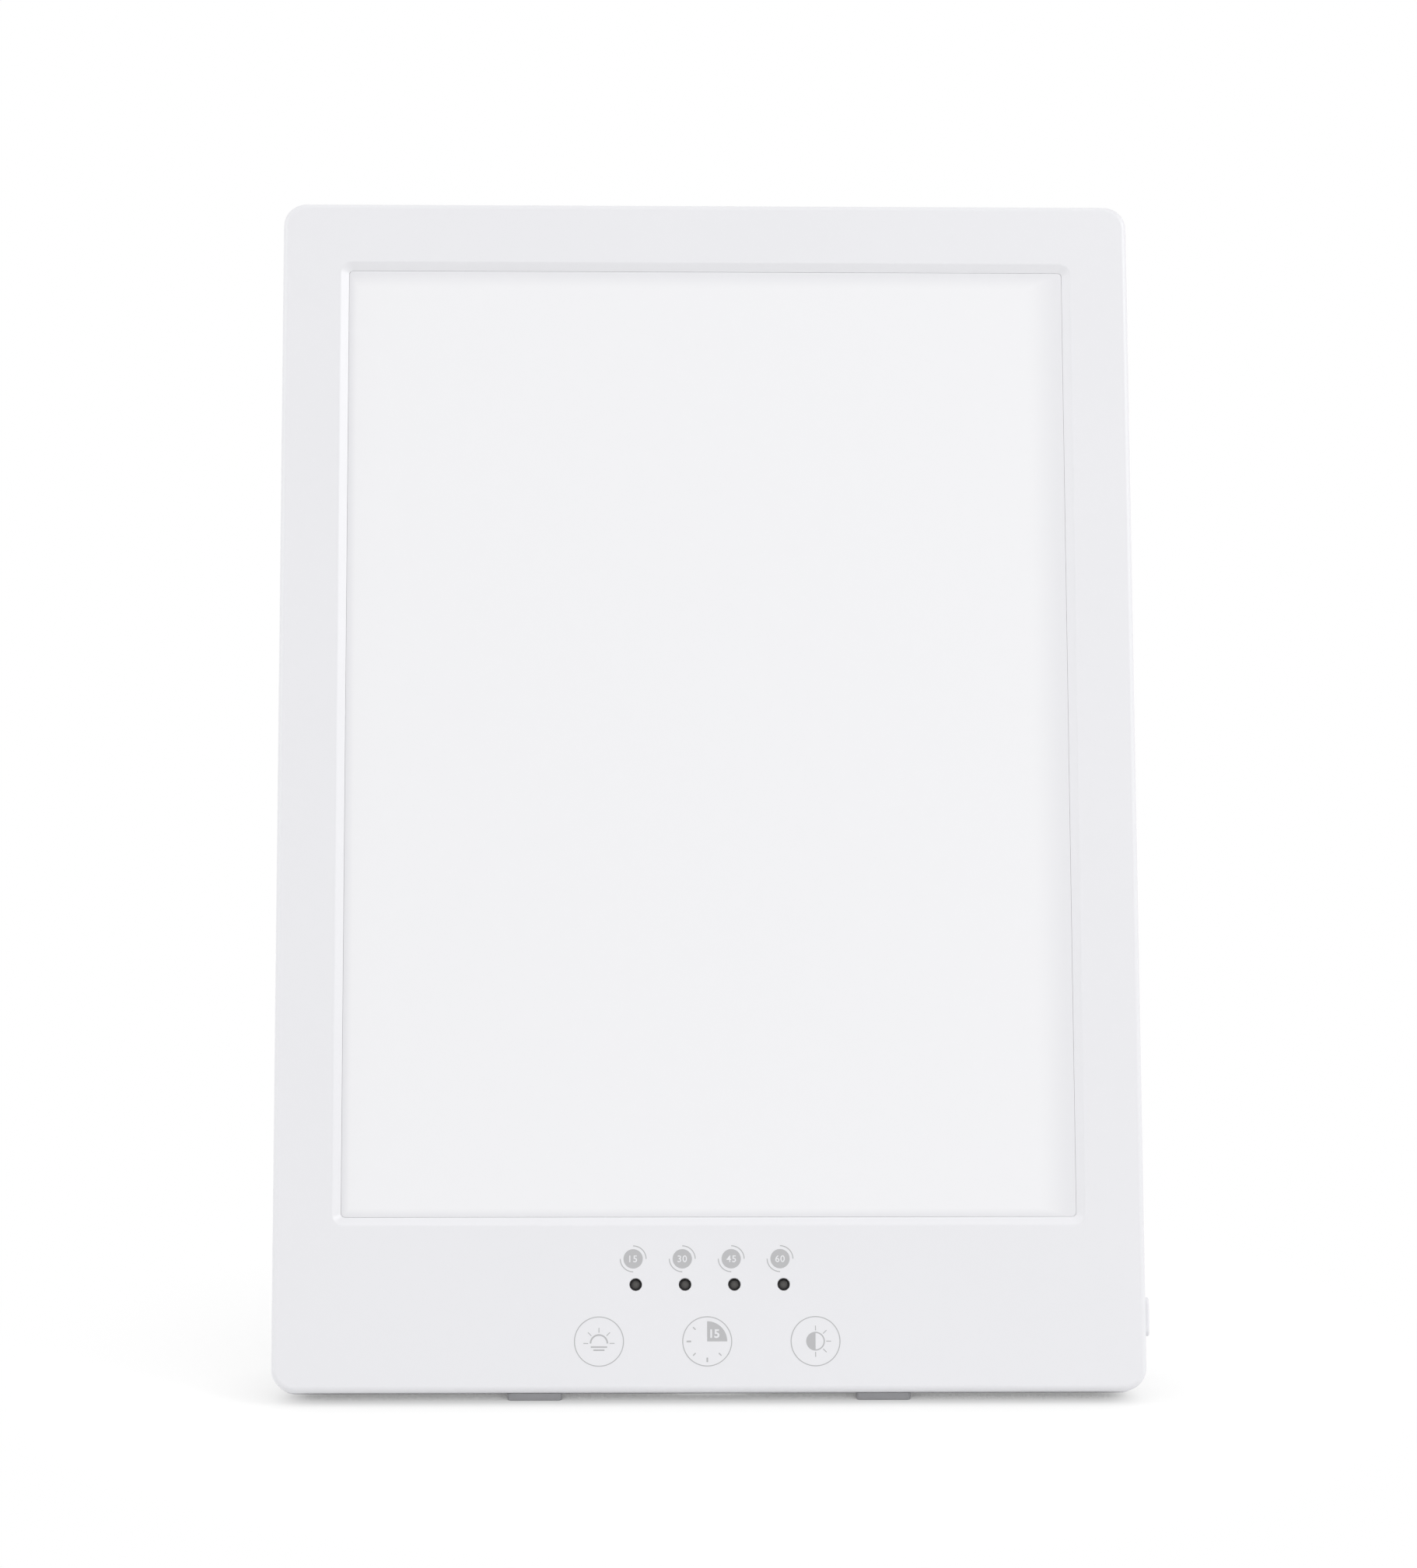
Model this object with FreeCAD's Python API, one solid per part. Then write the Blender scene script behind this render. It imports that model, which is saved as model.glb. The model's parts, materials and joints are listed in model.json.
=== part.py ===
import FreeCAD, Part

import math
import os

# Light therapy lamp: a slim edge-lit panel that leans back on a folding kickstand.
#
# Each piece is built in the case frame and then leaned back into the lamp frame.
# Case frame, millimetres: X to the right as seen from the front, Y from the front
# face (0) to the back, Z up the panel from its bottom edge (0), X = 0 in the middle.
# Lamp frame: +Z up, the rubber soles stand on Z = 0, the front faces -Y.

Vec = FreeCAD.Vector

# ---- case -------------------------------------------------------------------
case_w = 225.0            # width of the panel
case_h = 315.0            # height of the panel
case_corner_r = 6.0       # corners of the outline
case_wall = 2.0
bezel_depth = 11.0        # the front bezel's side wall ends here, at the parting line
slope_inset = 5.0         # the rear cover's rim slopes in by this much
front_edge_r = 1.5        # rounding of the front edge
lean = 18.0               # degrees that the panel leans back from upright

# ---- window in the front bezel ----------------------------------------------
face_t = 1.6              # thickness of the bezel's face
border_side = 17.5        # from the clear opening to the panel's sides
border_top = 18.2
border_bottom = 44.8
window_corner_r = 1.2
bevel_w = 2.2             # sloped border round the opening
bevel_depth = 1.2
bevel_corner_r = 3.0

# ---- optical stack, front to back -------------------------------------------
gasket_t = 0.3
gasket_setback = 1.0      # the foam stays this far back from the window's edge
gasket_band = 3.0
diffuser_t = 2.0
field_gap = 0.05          # round the diffuser's raised field, which fills the window
field_setback = 0.05      # the field ends this far behind the foot of the sloped border
film_t = 0.25
light_guide_t = 5.0
reflector_t = 0.3
back_plate_t = 1.3
stack_overlap = 2.5       # light guide hidden behind the window's edge, each side
sheet_margin = 0.8        # the diffuser and the plate stand out past the light guide
film_margin = 0.1         # the films end this far inside the light guide's edges
led_gap = 0.2             # air between the LEDs and the guide's edge
led_depth = 1.0
led_width = 3.0
led_length = 5.0
led_pitch = 8.2
led_board_t = 1.0
led_board_tail = 1.6      # the boards reach this far below the plate's flange
tape_t = 0.3
flange_t = 1.1
flange_lip = 0.2          # the flange reaches this far in front of the LED boards
guide_rib_t = 1.2
guide_rib_gap = 0.4       # room above and below the stack

# ---- kickstand and its pocket -----------------------------------------------
hinge_z = 196.0
stand_open = 28.0         # degrees between the folded and the open leg
leg_w = 80.0
leg_inner = 2.9           # hinge axis to the leg's inner side, and the knuckle's radius
leg_outer = 3.3           # hinge axis to the leg's outer skin
leg_sunk = 0.5            # the folded leg lies this far below the rear face
leg_skin = 2.4
leg_rail = 2.4
leg_foot_rail = 5.0
leg_foot_corner_r = 5.0
leg_rib_t = 1.6
leg_rib_x = 13.0
leg_rib_low = 0.9         # the inner ribs stay this far below the rails
leg_cross_rib_count = 3
heel_l = 5.0
heel_gap = 0.2            # between the open heel and the pocket's floor
plate_gap = 0.4           # between the back plate and the pocket's front side
pocket_wall = 1.6
pocket_gap = 0.3          # between the leg and the pocket's floor
pocket_side_gap = 1.0
pocket_end_gap = 0.6
bearing_l = 5.0
bearing_half_z = 4.5
pin_r = 1.25
pin_in_leg = 9.0
pin_end_gap = 0.5
pin_clear = 0.05
washer_t = 0.8
washer_r = 2.5
scoop_r = 14.0            # finger scoop at the foot of the pocket
scoop_floor = 1.5         # above the pocket's floor
pad_w = 60.0
pad_proud = 1.2
pad_sunk = 0.8
pad_half = 1.7

# ---- screws that close the case ---------------------------------------------
case_screw_side = 9.5     # from the panel's side to the outer screws
case_screw_end = 9.8      # from the panel's top or bottom edge
top_screw_count = 4
bottom_screw_count = 2
case_boss_r = 3.0
seat_t = 2.0
case_screw_r = 1.4
case_head_r = 2.7
case_head_h = 1.8
case_screw_l = 7.0        # under the head
counterbore_r = 3.2
cup_wall = 1.4
screw_clear = 0.2
web_t = 1.6               # web that ties a boss to the case wall

# ---- screws that hold the back plate ----------------------------------------
plate_post_r = 2.6
plate_post_side = 7.3     # from the panel's side
plate_post_end = 60.0     # from the panel's top and bottom edges to the outer rows
plate_post_count = 3      # on each side
plate_tab_half = 4.0
plate_tab_reach = 3.0     # tab past the post's axis
plate_screw_r = 1.1
plate_head_r = 2.3
plate_head_h = 1.5
plate_screw_l = 5.0

# ---- every screw head, as shares of its radius or height ---------------------
recess_w_share = 0.25     # width of the cross recess, of the radius
recess_l_share = 1.1      # its length, of the radius
recess_h_share = 0.5      # its depth, of the height
head_edge_share = 0.3     # rounding of the head, of the height

# ---- joint between the two shells -------------------------------------------
tongue_l = 1.5            # the rear cover's tongue reaches into the bezel
tongue_t = 1.25
tongue_clear = 0.15
tongue_root = 1.5
snap_l = 10.0             # ridges on the tongue click into grooves in the bezel
snap_w = 0.8
snap_proud = 0.5
snap_clear = 0.1
side_snap_count = 4
snap_side_end = 50.0      # from the top and bottom edges to the outer ridges
bottom_snap_count = 3
snap_bottom_end = 52.0    # from the panel's sides to the outer ridges

# ---- control board and what is on it ----------------------------------------
board_t = 1.6
board_side_gap = 13.5     # from the case's inner side
board_bottom = 6.0
board_top_gap = 0.9       # below the lower locating rib
ear_half = 6.0            # the board's ear carries the power switch
ear_lip = 0.6
board_post_r = 2.75
board_post_inset = 17.0   # from the board's ends
board_post_low = 4.0      # from its lower edge
board_post_high = 5.0     # from its upper edge
board_screw_r = 1.1
board_head_r = 2.2
board_head_h = 1.4
board_screw_l = 4.5
touch_count = 3
touch_pitch = 28.0        # spacing of the touch fields
touch_z = 12.9
touch_pad_r = 4.5
indicator_pitch = 12.7
indicator_count = 4
indicator_z = 27.4
indicator_hole_r = 1.6
pipe_clear = 0.05
pipe_recess = 0.6         # the light pipes end this far behind the front face
pipe_collar_r = 2.3
pipe_collar_t = 0.9
pipe_bar_h = 4.0
pipe_bar_t = 1.2
pipe_led_gap = 0.2
led_chip_w = 1.6
led_chip_h = 0.8
led_chip_t = 0.8
chip_side = 9.0
chip_t = 1.2
chip_gap = 0.6            # between the controller chip and the stand's pocket
tall_part_gap = 3.0       # between the stand's pocket and the tall parts beside it
inductor_count = 2
inductor_side = 7.0
inductor_h = 4.0
inductor_pitch = 12.0
capacitor_count = 3
capacitor_r = 3.15
capacitor_h = 7.0
capacitor_pitch = 8.0
connector_inset = 13.0    # from the board's ends
connector_w = 6.0
connector_h = 5.0
wire_r = 0.6
wire_bend_share = 0.45    # an arc takes this much of the shorter run beside it
wire_drop = 8.0           # straight length below the LED board
wire_rise = 4.6           # last bend but one, above the connector
wire_run = 7.4            # straight length beside the connector

# ---- power inlet ------------------------------------------------------------
jack_inset = 27.0         # from the board's end
jack_side = 9.0
jack_nose_r = 4.0
jack_nose_recess = 0.2    # the nose ends this far inside the rear face
jack_hole_clear = 0.2
jack_bore_r = 2.85
jack_floor = 1.0
jack_pin_r = 1.0
jack_pin_edge_r = 0.5
jack_pin_recess = 0.8
contact_l = 4.5
contact_w = 2.0
contact_t = 0.3

# ---- power button on the right side -----------------------------------------
button_z = 19.25
button_l = 10.1           # along the side
button_w = 3.8
button_proud = 1.3
button_edge_r = 0.5
button_clear = 0.15
button_rim = 1.0          # inner rim that keeps the cap in
button_rim_t = 1.5
button_rim_gap = 0.2
button_stem_r = 1.7
button_stem_l = 3.8
button_travel = 0.6
switch_l = 5.8
switch_h = 4.4
switch_half_z = 3.0
plunger_w = 2.0
plunger_l = 3.0
plunger_out = 2.2         # outside the switch's body
plunger_inside = 1.8
plunger_clear = 0.1

# ---- front feet -------------------------------------------------------------
foot_x = 45.0
foot_w = 14.0
foot_l = 3.6
foot_end = 0.6            # from the parting line
foot_clear = 0.6          # the case's lowest edge above the surface
foot_peg_r = 1.2

# ---- vents in the rear cover ------------------------------------------------
vent_count = 13           # slots on each side of the middle
vent_pitch = 5.4
vent_w = 2.2
vent_h = 22.0
vent_x = 20.0             # first slot
vent_drop = 53.0          # slots' middle, from the top edge

# ---- worked out from the sizes above ----------------------------------------
sides = (-1, 1)
theta = math.radians(lean)
alpha = math.radians(stand_open)
beta = alpha - theta                      # open leg from upright

window_w = case_w - 2 * border_side
window_h = case_h - border_top - border_bottom
window_mid_z = border_bottom + window_h / 2
guide_half_w = window_w / 2 + stack_overlap
guide_half_h = window_h / 2 + stack_overlap
sheet_half_w = guide_half_w + sheet_margin
sheet_half_h = guide_half_h + sheet_margin
rib_z = sheet_half_h + guide_rib_gap      # from the stack's middle to the locating ribs

y_diffuser = face_t + gasket_t
y_films = y_diffuser + diffuser_t
y_guide = y_films + 2 * film_t
y_reflector = y_guide + light_guide_t
y_plate = y_reflector + reflector_t
y_plate_back = y_plate + back_plate_t
led_face = guide_half_w + led_gap
led_board_face = led_face + led_depth
tape_face = led_board_face + led_board_t
flange_face = tape_face + tape_t
flange_back = flange_face + flange_t

pocket_front = y_plate_back + plate_gap
pocket_floor = pocket_front + pocket_wall
hinge_y = pocket_floor + pocket_gap + leg_inner
case_t = hinge_y + leg_outer + leg_sunk   # front face to rear face
slope_depth = case_t - bezel_depth
rim_offset = case_wall * math.hypot(slope_depth, slope_inset) / slope_depth
wall_in = case_w / 2 - case_wall
low_point = max(bezel_depth * math.sin(theta), case_t * math.sin(theta) - slope_inset * math.cos(theta))
floor_drop = low_point + foot_clear
hinge_height = hinge_z * math.cos(theta) - hinge_y * math.sin(theta) + floor_drop
heel_flank_z = heel_l / 3                 # the heel's flank starts this far above the axis
pocket_half_w = leg_w / 2 + pocket_side_gap
pocket_top = hinge_z + math.hypot(leg_outer, heel_l) + pocket_end_gap
pocket_bottom = hinge_z - (hinge_height + leg_outer * math.sin(beta)) / math.cos(beta) - pocket_end_gap

board_back = pocket_front - chip_gap - chip_t
board_front = board_back - board_t
board_half_w = wall_in - board_side_gap
board_top = window_mid_z - rib_z - guide_rib_t - board_top_gap
board_mid_z = (board_bottom + board_top) / 2
connector_x = board_half_w - connector_inset
jack_x = jack_inset - board_half_w
button_y = board_front - switch_h / 2
rim_out = wall_in - button_rim_gap
rim_in = rim_out - button_rim_t
stem_end = rim_in - button_stem_l
switch_end = stem_end - plunger_out


# ---- plain shapes -----------------------------------------------------------
def block(x0, x1, y0, y1, z0, z1):
    return Part.makeBox(x1 - x0, y1 - y0, z1 - z0, Vec(x0, y0, z0))


def side_block(side, x_in, x_out, y0, y1, z0, z1):
    """A block between two distances from the middle, on one side of the lamp."""
    x0, x1 = sorted((side * x_in, side * x_out))
    return block(x0, x1, y0, y1, z0, z1)


def rod_y(r, x, z, y0, y1):
    return Part.makeCylinder(r, y1 - y0, Vec(x, y0, z), Vec(0, 1, 0))


def rod_x(r, y, z, x0, x1):
    return Part.makeCylinder(r, abs(x1 - x0), Vec(min(x0, x1), y, z), Vec(1, 0, 0))


def rod_z(r, x, y, z0, z1):
    return Part.makeCylinder(r, z1 - z0, Vec(x, y, z0), Vec(0, 0, 1))


def frame_wire(half_w, z0, z1, r, y):
    """A rectangle with round corners, in the plane at depth y."""
    corners = [(half_w - r, z0 + r, 270), (half_w - r, z1 - r, 0),
               (r - half_w, z1 - r, 90), (r - half_w, z0 + r, 180)]
    arcs = []
    for x, z, start in corners:
        turns = [math.radians(start + turn) for turn in (0, 45, 90)]
        arcs.append([Vec(x + r * math.cos(a), y, z + r * math.sin(a)) for a in turns])
    edges = []
    for arc, following in zip(arcs, arcs[1:] + arcs[:1]):
        edges.append(Part.Arc(*arc).toShape())
        edges.append(Part.LineSegment(arc[-1], following[0]).toShape())
    return Part.Wire(edges)


def plate(half_w, z0, z1, r, y0, y1):
    """A flat plate with round corners."""
    return Part.Face(frame_wire(half_w, z0, z1, r, y0)).extrude(Vec(0, y1 - y0, 0))


def taper(front, back):
    """A solid between two (half_w, z0, z1, r, y) frames."""
    return Part.makeLoft([frame_wire(*front), frame_wire(*back)], True, True)


def slot_y(half_w, half_l, x, z, y0, y1):
    """An upright slot with round ends, cut along Y."""
    straight = half_l - half_w
    solid = block(x - half_w, x + half_w, y0, y1, z - straight, z + straight)
    for end in sides:
        solid = solid.fuse(rod_y(half_w, x, z + end * straight, y0, y1))
    return solid.removeSplitter()


def pill_x(half_y, half_z, x0, x1):
    """A bar along X on the button's axis, whose section is an upright slot."""
    straight = half_z - half_y
    solid = block(x0, x1, button_y - half_y, button_y + half_y, button_z - straight, button_z + straight)
    for end in sides:
        solid = solid.fuse(rod_x(half_y, button_y, button_z + end * straight, x0, x1))
    return solid.removeSplitter()


def profile_x(points, x0, x1):
    """A (y, z) outline made into a bar from x0 to x1."""
    corners = [Vec(x0, y, z) for y, z in points]
    return Part.Face(Part.makePolygon(corners + corners[:1])).extrude(Vec(x1 - x0, 0, 0))


def same(a, b):
    """Two lengths that are equal but for rounding."""
    return abs(a - b) < 1e-6


def edges_where(shape, test):
    return [edge for edge in shape.Edges if test(edge)]


def screw(x, z, seat, length, shank_r, head_r, head_h):
    """A pan-head screw along Y, driven from the back, with a cross recess."""
    recess_w, recess_l = head_r * recess_w_share, head_r * recess_l_share
    recess_h = head_h * recess_h_share
    top = seat + head_h
    head = rod_y(head_r, x, z, seat, top)
    head = head.makeFillet(head_h * head_edge_share, edges_where(head, lambda e: same(e.CenterOfMass.y, top)))
    solid = head.fuse(rod_y(shank_r, x, z, seat - length, seat))
    for w, h in ((recess_w, recess_l), (recess_l, recess_w)):
        solid = solid.cut(block(x - w / 2, x + w / 2, top - recess_h, top, z - h / 2, z + h / 2))
    return solid


def bent_tube(points, r):
    """A tube of radius r along straight runs joined by the largest tangent arcs."""
    edges = []
    radii = []
    start = points[0]
    for before, corner, after in zip(points, points[1:], points[2:]):
        back = (before - corner).normalize()
        ahead = (after - corner).normalize()
        cut = wire_bend_share * min((before - corner).Length, (after - corner).Length)
        half_turn = (math.pi - back.getAngle(ahead)) / 2
        radius = cut / math.tan(half_turn)
        inward = (back + ahead).normalize()
        middle = corner + inward * (radius / math.cos(half_turn) - radius)
        edges.append(Part.LineSegment(start, corner + back * cut).toShape())
        edges.append(Part.Arc(corner + back * cut, middle, corner + ahead * cut).toShape())
        radii.append(radius)
        start = corner + ahead * cut
    edges.append(Part.LineSegment(start, points[-1]).toShape())
    ring = Part.Wire(Part.makeCircle(r, points[0], points[1] - points[0]))
    print("bend radii", [round(radius, 2) for radius in radii])
    return Part.Wire(edges).makePipeShell([ring], True, True)


def group(shapes):
    """Separate solids kept as one node."""
    return Part.makeCompound(list(shapes))


def spread(count, first, last):
    """Evenly spaced places from first to last."""
    return [first + i * (last - first) / (count - 1) for i in range(count)]


def spread_about(middle, count, pitch):
    """Evenly spaced places on both sides of a middle."""
    reach = (count - 1) / 2 * pitch
    return [middle - reach + i * pitch for i in range(count)]


# ---- casing -----------------------------------------------------------------
def case_outline(inset, y0, y1):
    """The case's outline, drawn in by inset."""
    return plate(case_w / 2 - inset, inset, case_h - inset, case_corner_r - inset, y0, y1)


def case_screw_points():
    reach = case_w / 2 - case_screw_side
    top = [(x, case_h - case_screw_end) for x in spread(top_screw_count, -reach, reach)]
    bottom = [(x, case_screw_end) for x in spread(bottom_screw_count, -reach, reach)]
    return top + bottom


def plate_screw_points():
    reach = case_w / 2 - plate_post_side
    rows = spread(plate_post_count, plate_post_end, case_h - plate_post_end)
    return [(side * reach, z) for side in sides for z in rows]


def board_screw_points():
    reach = board_half_w - board_post_inset
    rows = (board_bottom + board_post_low, board_top - board_post_high)
    return [(side * reach, z) for side in sides for z in rows]


def indicator_points():
    return [(x, indicator_z) for x in spread_about(0, indicator_count, indicator_pitch)]


def snap_ridges(grow):
    """The ridges on the tongue, or their grooves when grown."""
    y0 = bezel_depth - tongue_l + snap_clear - grow
    y1 = y0 + snap_w + 2 * grow
    root = case_wall + tongue_clear + tongue_t / 2
    proud = case_wall + tongue_clear - snap_proud - grow
    half = snap_l / 2 + grow
    ridges = []
    for side in sides:
        for z in spread(side_snap_count, snap_side_end, case_h - snap_side_end):
            ridges.append(side_block(side, case_w / 2 - root, case_w / 2 - proud, y0, y1, z - half, z + half))
    reach = case_w / 2 - snap_bottom_end
    for x in spread(bottom_snap_count, -reach, reach):
        ridges.append(block(x - half, x + half, y0, y1, proud, root))
    return group(ridges)


def window_cutter():
    z0, z1 = border_bottom, border_bottom + window_h
    opening = plate(window_w / 2, z0, z1, window_corner_r, 0, face_t)
    mouth = (window_w / 2 + bevel_w, z0 - bevel_w, z1 + bevel_w, bevel_corner_r, 0)
    throat = (window_w / 2, z0, z1, window_corner_r, bevel_depth)
    return opening.fuse(taper(mouth, throat))


def web(x, z):
    """The rib that ties a case screw's boss to the nearest end wall."""
    z0, z1 = (z, case_h - case_wall) if z > case_h / 2 else (case_wall, z)
    return block(x - web_t / 2, x + web_t / 2, face_t, bezel_depth - tongue_l - tongue_clear, z0, z1)


def foot_peg(side):
    return rod_z(foot_peg_r, side * foot_x, bezel_depth - foot_end - foot_l / 2, 0, case_wall)


def make_front_bezel():
    shell = case_outline(0, 0, bezel_depth)
    shell = shell.makeFillet(front_edge_r, edges_where(shell, lambda e: same(e.BoundBox.YMax, 0)))
    shell = shell.cut(case_outline(case_wall, face_t, bezel_depth)).cut(window_cutter())
    posts = []
    holes = []
    for x, z in case_screw_points():
        posts += [rod_y(case_boss_r, x, z, face_t, bezel_depth), web(x, z)]
        holes.append(rod_y(case_screw_r, x, z, bezel_depth + seat_t - case_screw_l, bezel_depth))
    for x, z in plate_screw_points():
        posts.append(rod_y(plate_post_r, x, z, face_t, y_plate))
        holes.append(rod_y(plate_screw_r, x, z, y_plate_back - plate_screw_l, y_plate))
    for x, z in board_screw_points():
        posts.append(rod_y(board_post_r, x, z, face_t, board_front))
        holes.append(rod_y(board_screw_r, x, z, board_back - board_screw_l, board_front))
    for x, z in indicator_points():
        holes.append(rod_y(indicator_hole_r, x, z, 0, face_t))
    for side in sides:
        z0, z1 = sorted(window_mid_z + side * d for d in (rib_z, rib_z + guide_rib_t))
        posts.append(block(-window_w / 2, window_w / 2, face_t, y_reflector, z0, z1))
        holes.append(foot_peg(side))
    slot_half_w, slot_half_l = button_w / 2 + button_clear, button_l / 2 + button_clear
    holes.append(pill_x(slot_half_w, slot_half_l, rim_out, case_w / 2 + button_proud))
    shell = shell.fuse(posts).cut(holes).cut(snap_ridges(snap_clear))
    return shell.removeSplitter()


def rear_hull(offset, depth_to):
    """The rear cover's outer body, or its hollow when drawn in by offset."""
    deep = slope_inset * (depth_to - bezel_depth) / slope_depth
    r = case_corner_r - min(offset, case_corner_r / 2)
    front = (case_w / 2 - offset, offset, case_h - offset, r, bezel_depth)
    back = (case_w / 2 - offset - deep, offset + deep, case_h - offset - deep, r, depth_to)
    return taper(front, back)


def tongue():
    outer = case_wall + tongue_clear
    y0, y1 = bezel_depth - tongue_l, bezel_depth + tongue_root
    return case_outline(outer, y0, y1).cut(case_outline(outer + tongue_t, y0, y1)).fuse(snap_ridges(0))


def pocket_box(grow, y0):
    half = pocket_half_w + grow
    return block(-half, half, y0, case_t, pocket_bottom - grow, pocket_top + grow)


def finger_scoop(grow):
    z = pocket_bottom + scoop_r / 2
    return rod_y(scoop_r + grow, 0, z, pocket_floor + scoop_floor - grow, case_t)


def make_rear_cover():
    body = rear_hull(0, case_t)
    shell = body.cut(rear_hull(rim_offset, case_t - case_wall))
    walls = [pocket_box(pocket_wall, pocket_front), finger_scoop(pocket_wall)]
    holes = [pocket_box(0, pocket_floor), finger_scoop(0)]
    bearing_end = pocket_half_w + bearing_l
    for side in sides:
        walls.append(side_block(side, pocket_half_w, bearing_end, pocket_front, case_t,
                                hinge_z - bearing_half_z, hinge_z + bearing_half_z))
        for i in range(vent_count):
            x = side * (vent_x + i * vent_pitch)
            holes.append(slot_y(vent_w / 2, vent_h / 2, x, case_h - vent_drop, case_t - case_wall, case_t))
    for x, z in case_screw_points():
        walls.append(rod_y(counterbore_r + cup_wall, x, z, bezel_depth, case_t))
        holes.append(rod_y(counterbore_r, x, z, bezel_depth + seat_t, case_t))
        holes.append(rod_y(case_screw_r + screw_clear, x, z, bezel_depth, case_t))
    holes.append(rod_x(pin_r, hinge_y, hinge_z, -bearing_end, bearing_end))
    holes.append(rod_y(jack_nose_r + jack_hole_clear, jack_x, board_mid_z, case_t - case_wall, case_t))
    return shell.fuse(walls).common(body).fuse(tongue()).cut(holes).removeSplitter()


def sole_z(y):
    """Case-frame height, at depth y, of the surface that the lamp stands on."""
    return (y * math.sin(theta) - floor_drop) / math.cos(theta)


def make_front_foot(side):
    """A rubber wedge under the case, level underneath, on a peg."""
    y1 = bezel_depth - foot_end
    y0 = y1 - foot_l
    outline = [(y0, 0), (y1, 0), (y1, sole_z(y1)), (y0, sole_z(y0))]
    wedge = profile_x(outline, side * foot_x - foot_w / 2, side * foot_x + foot_w / 2)
    return wedge.fuse(foot_peg(side)).removeSplitter()


# ---- optical stack ----------------------------------------------------------
def sheet(half_w, half_h, y0, y1):
    return block(-half_w, half_w, y0, y1, window_mid_z - half_h, window_mid_z + half_h)


def make_gasket():
    hole_w, hole_h = window_w / 2 + gasket_setback, window_h / 2 + gasket_setback
    band = gasket_band - gasket_setback
    outer = sheet(hole_w + band, hole_h + band, face_t, y_diffuser)
    return outer.cut(sheet(hole_w, hole_h, face_t, y_diffuser))


def make_diffuser():
    """The opal panel, with a raised field that fills the window."""
    z0, z1 = border_bottom + field_gap, border_bottom + window_h - field_gap
    field = plate(window_w / 2 - field_gap, z0, z1, window_corner_r - field_gap,
                  bevel_depth + field_setback, y_diffuser)
    return sheet(sheet_half_w, sheet_half_h, y_diffuser, y_films).fuse(field).removeSplitter()


def make_film(y0):
    return sheet(guide_half_w - film_margin, guide_half_h - film_margin, y0, y0 + film_t)


def flange_span():
    """Lower and upper end of the plate's flanges and the tapes."""
    return window_mid_z - guide_half_h + led_board_tail, window_mid_z + guide_half_h


def make_back_plate():
    solid = sheet(flange_back, sheet_half_h, y_plate, y_plate_back)
    for side in sides:
        solid = solid.fuse(side_block(side, flange_face, flange_back, y_guide - flange_lip, y_plate,
                                      *flange_span()))
    for x, z in plate_screw_points():
        side = math.copysign(1, x)
        tab = side_block(side, flange_face, abs(x) + plate_tab_reach, y_plate, y_plate_back,
                         z - plate_tab_half, z + plate_tab_half)
        solid = solid.fuse(tab).cut(rod_y(plate_screw_r, x, z, y_plate, y_plate_back))
    return solid.removeSplitter()


def make_led_board(side):
    return side_block(side, led_board_face, tape_face, y_guide, y_reflector,
                      window_mid_z - guide_half_h, window_mid_z + guide_half_h)


def make_tape(side):
    return side_block(side, tape_face, flange_face, y_guide, y_reflector, *flange_span())


def make_led_row(side):
    y0 = y_guide + (light_guide_t - led_width) / 2
    count = int((2 * guide_half_h - led_length) // led_pitch) + 1
    return group(side_block(side, led_face, led_board_face, y0, y0 + led_width,
                            z - led_length / 2, z + led_length / 2)
                 for z in spread_about(window_mid_z, count, led_pitch))


# ---- control board ----------------------------------------------------------
def make_control_board():
    board = block(-board_half_w, board_half_w, board_front, board_back, board_bottom, board_top)
    ear = block(board_half_w, switch_end + ear_lip, board_front, board_back,
                button_z - ear_half, button_z + ear_half)
    holes = [rod_y(board_screw_r, x, z, board_front, board_back) for x, z in board_screw_points()]
    return board.fuse(ear).cut(holes).removeSplitter()


def make_touch_pads():
    return group(rod_y(touch_pad_r, x, touch_z, face_t, board_front)
                 for x in spread_about(0, touch_count, touch_pitch))


def make_light_pipe():
    """One moulding: a pipe into each indicator hole, and the bar that joins them."""
    bar_y = face_t + pipe_collar_t
    end = board_front - led_chip_t - pipe_led_gap
    points = indicator_points()
    x0, x1 = points[0][0] - pipe_collar_r, points[-1][0] + pipe_collar_r
    half = pipe_bar_h / 2
    solid = block(x0, x1, bar_y, bar_y + pipe_bar_t, indicator_z - half, indicator_z + half)
    for x, z in points:
        solid = solid.fuse(rod_y(indicator_hole_r - pipe_clear, x, z, pipe_recess, end))
        solid = solid.fuse(rod_y(pipe_collar_r, x, z, face_t, bar_y))
    return solid.removeSplitter()


def make_indicator_leds():
    w, h = led_chip_w / 2, led_chip_h / 2
    return group(block(x - w, x + w, board_front - led_chip_t, board_front, z - h, z + h)
                 for x, z in indicator_points())


def box_on_board(x, z, w, l, h):
    """A part soldered to the board's rear face."""
    return block(x - w / 2, x + w / 2, board_back, board_back + h, z - l / 2, z + l / 2)


def make_inductors():
    x = pocket_half_w + pocket_wall + tall_part_gap + inductor_side / 2
    return group(box_on_board(x, z, inductor_side, inductor_side, inductor_h)
                 for z in spread_about(board_mid_z, inductor_count, inductor_pitch))


def make_capacitors():
    x = -(pocket_half_w + pocket_wall + tall_part_gap + capacitor_r)
    return group(rod_y(capacitor_r, x, z, board_back, board_back + capacitor_h)
                 for z in spread_about(board_mid_z, capacitor_count, capacitor_pitch))


def make_connectors():
    return group(box_on_board(side * connector_x, board_mid_z, connector_w, connector_w, connector_h)
                 for side in sides)


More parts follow.
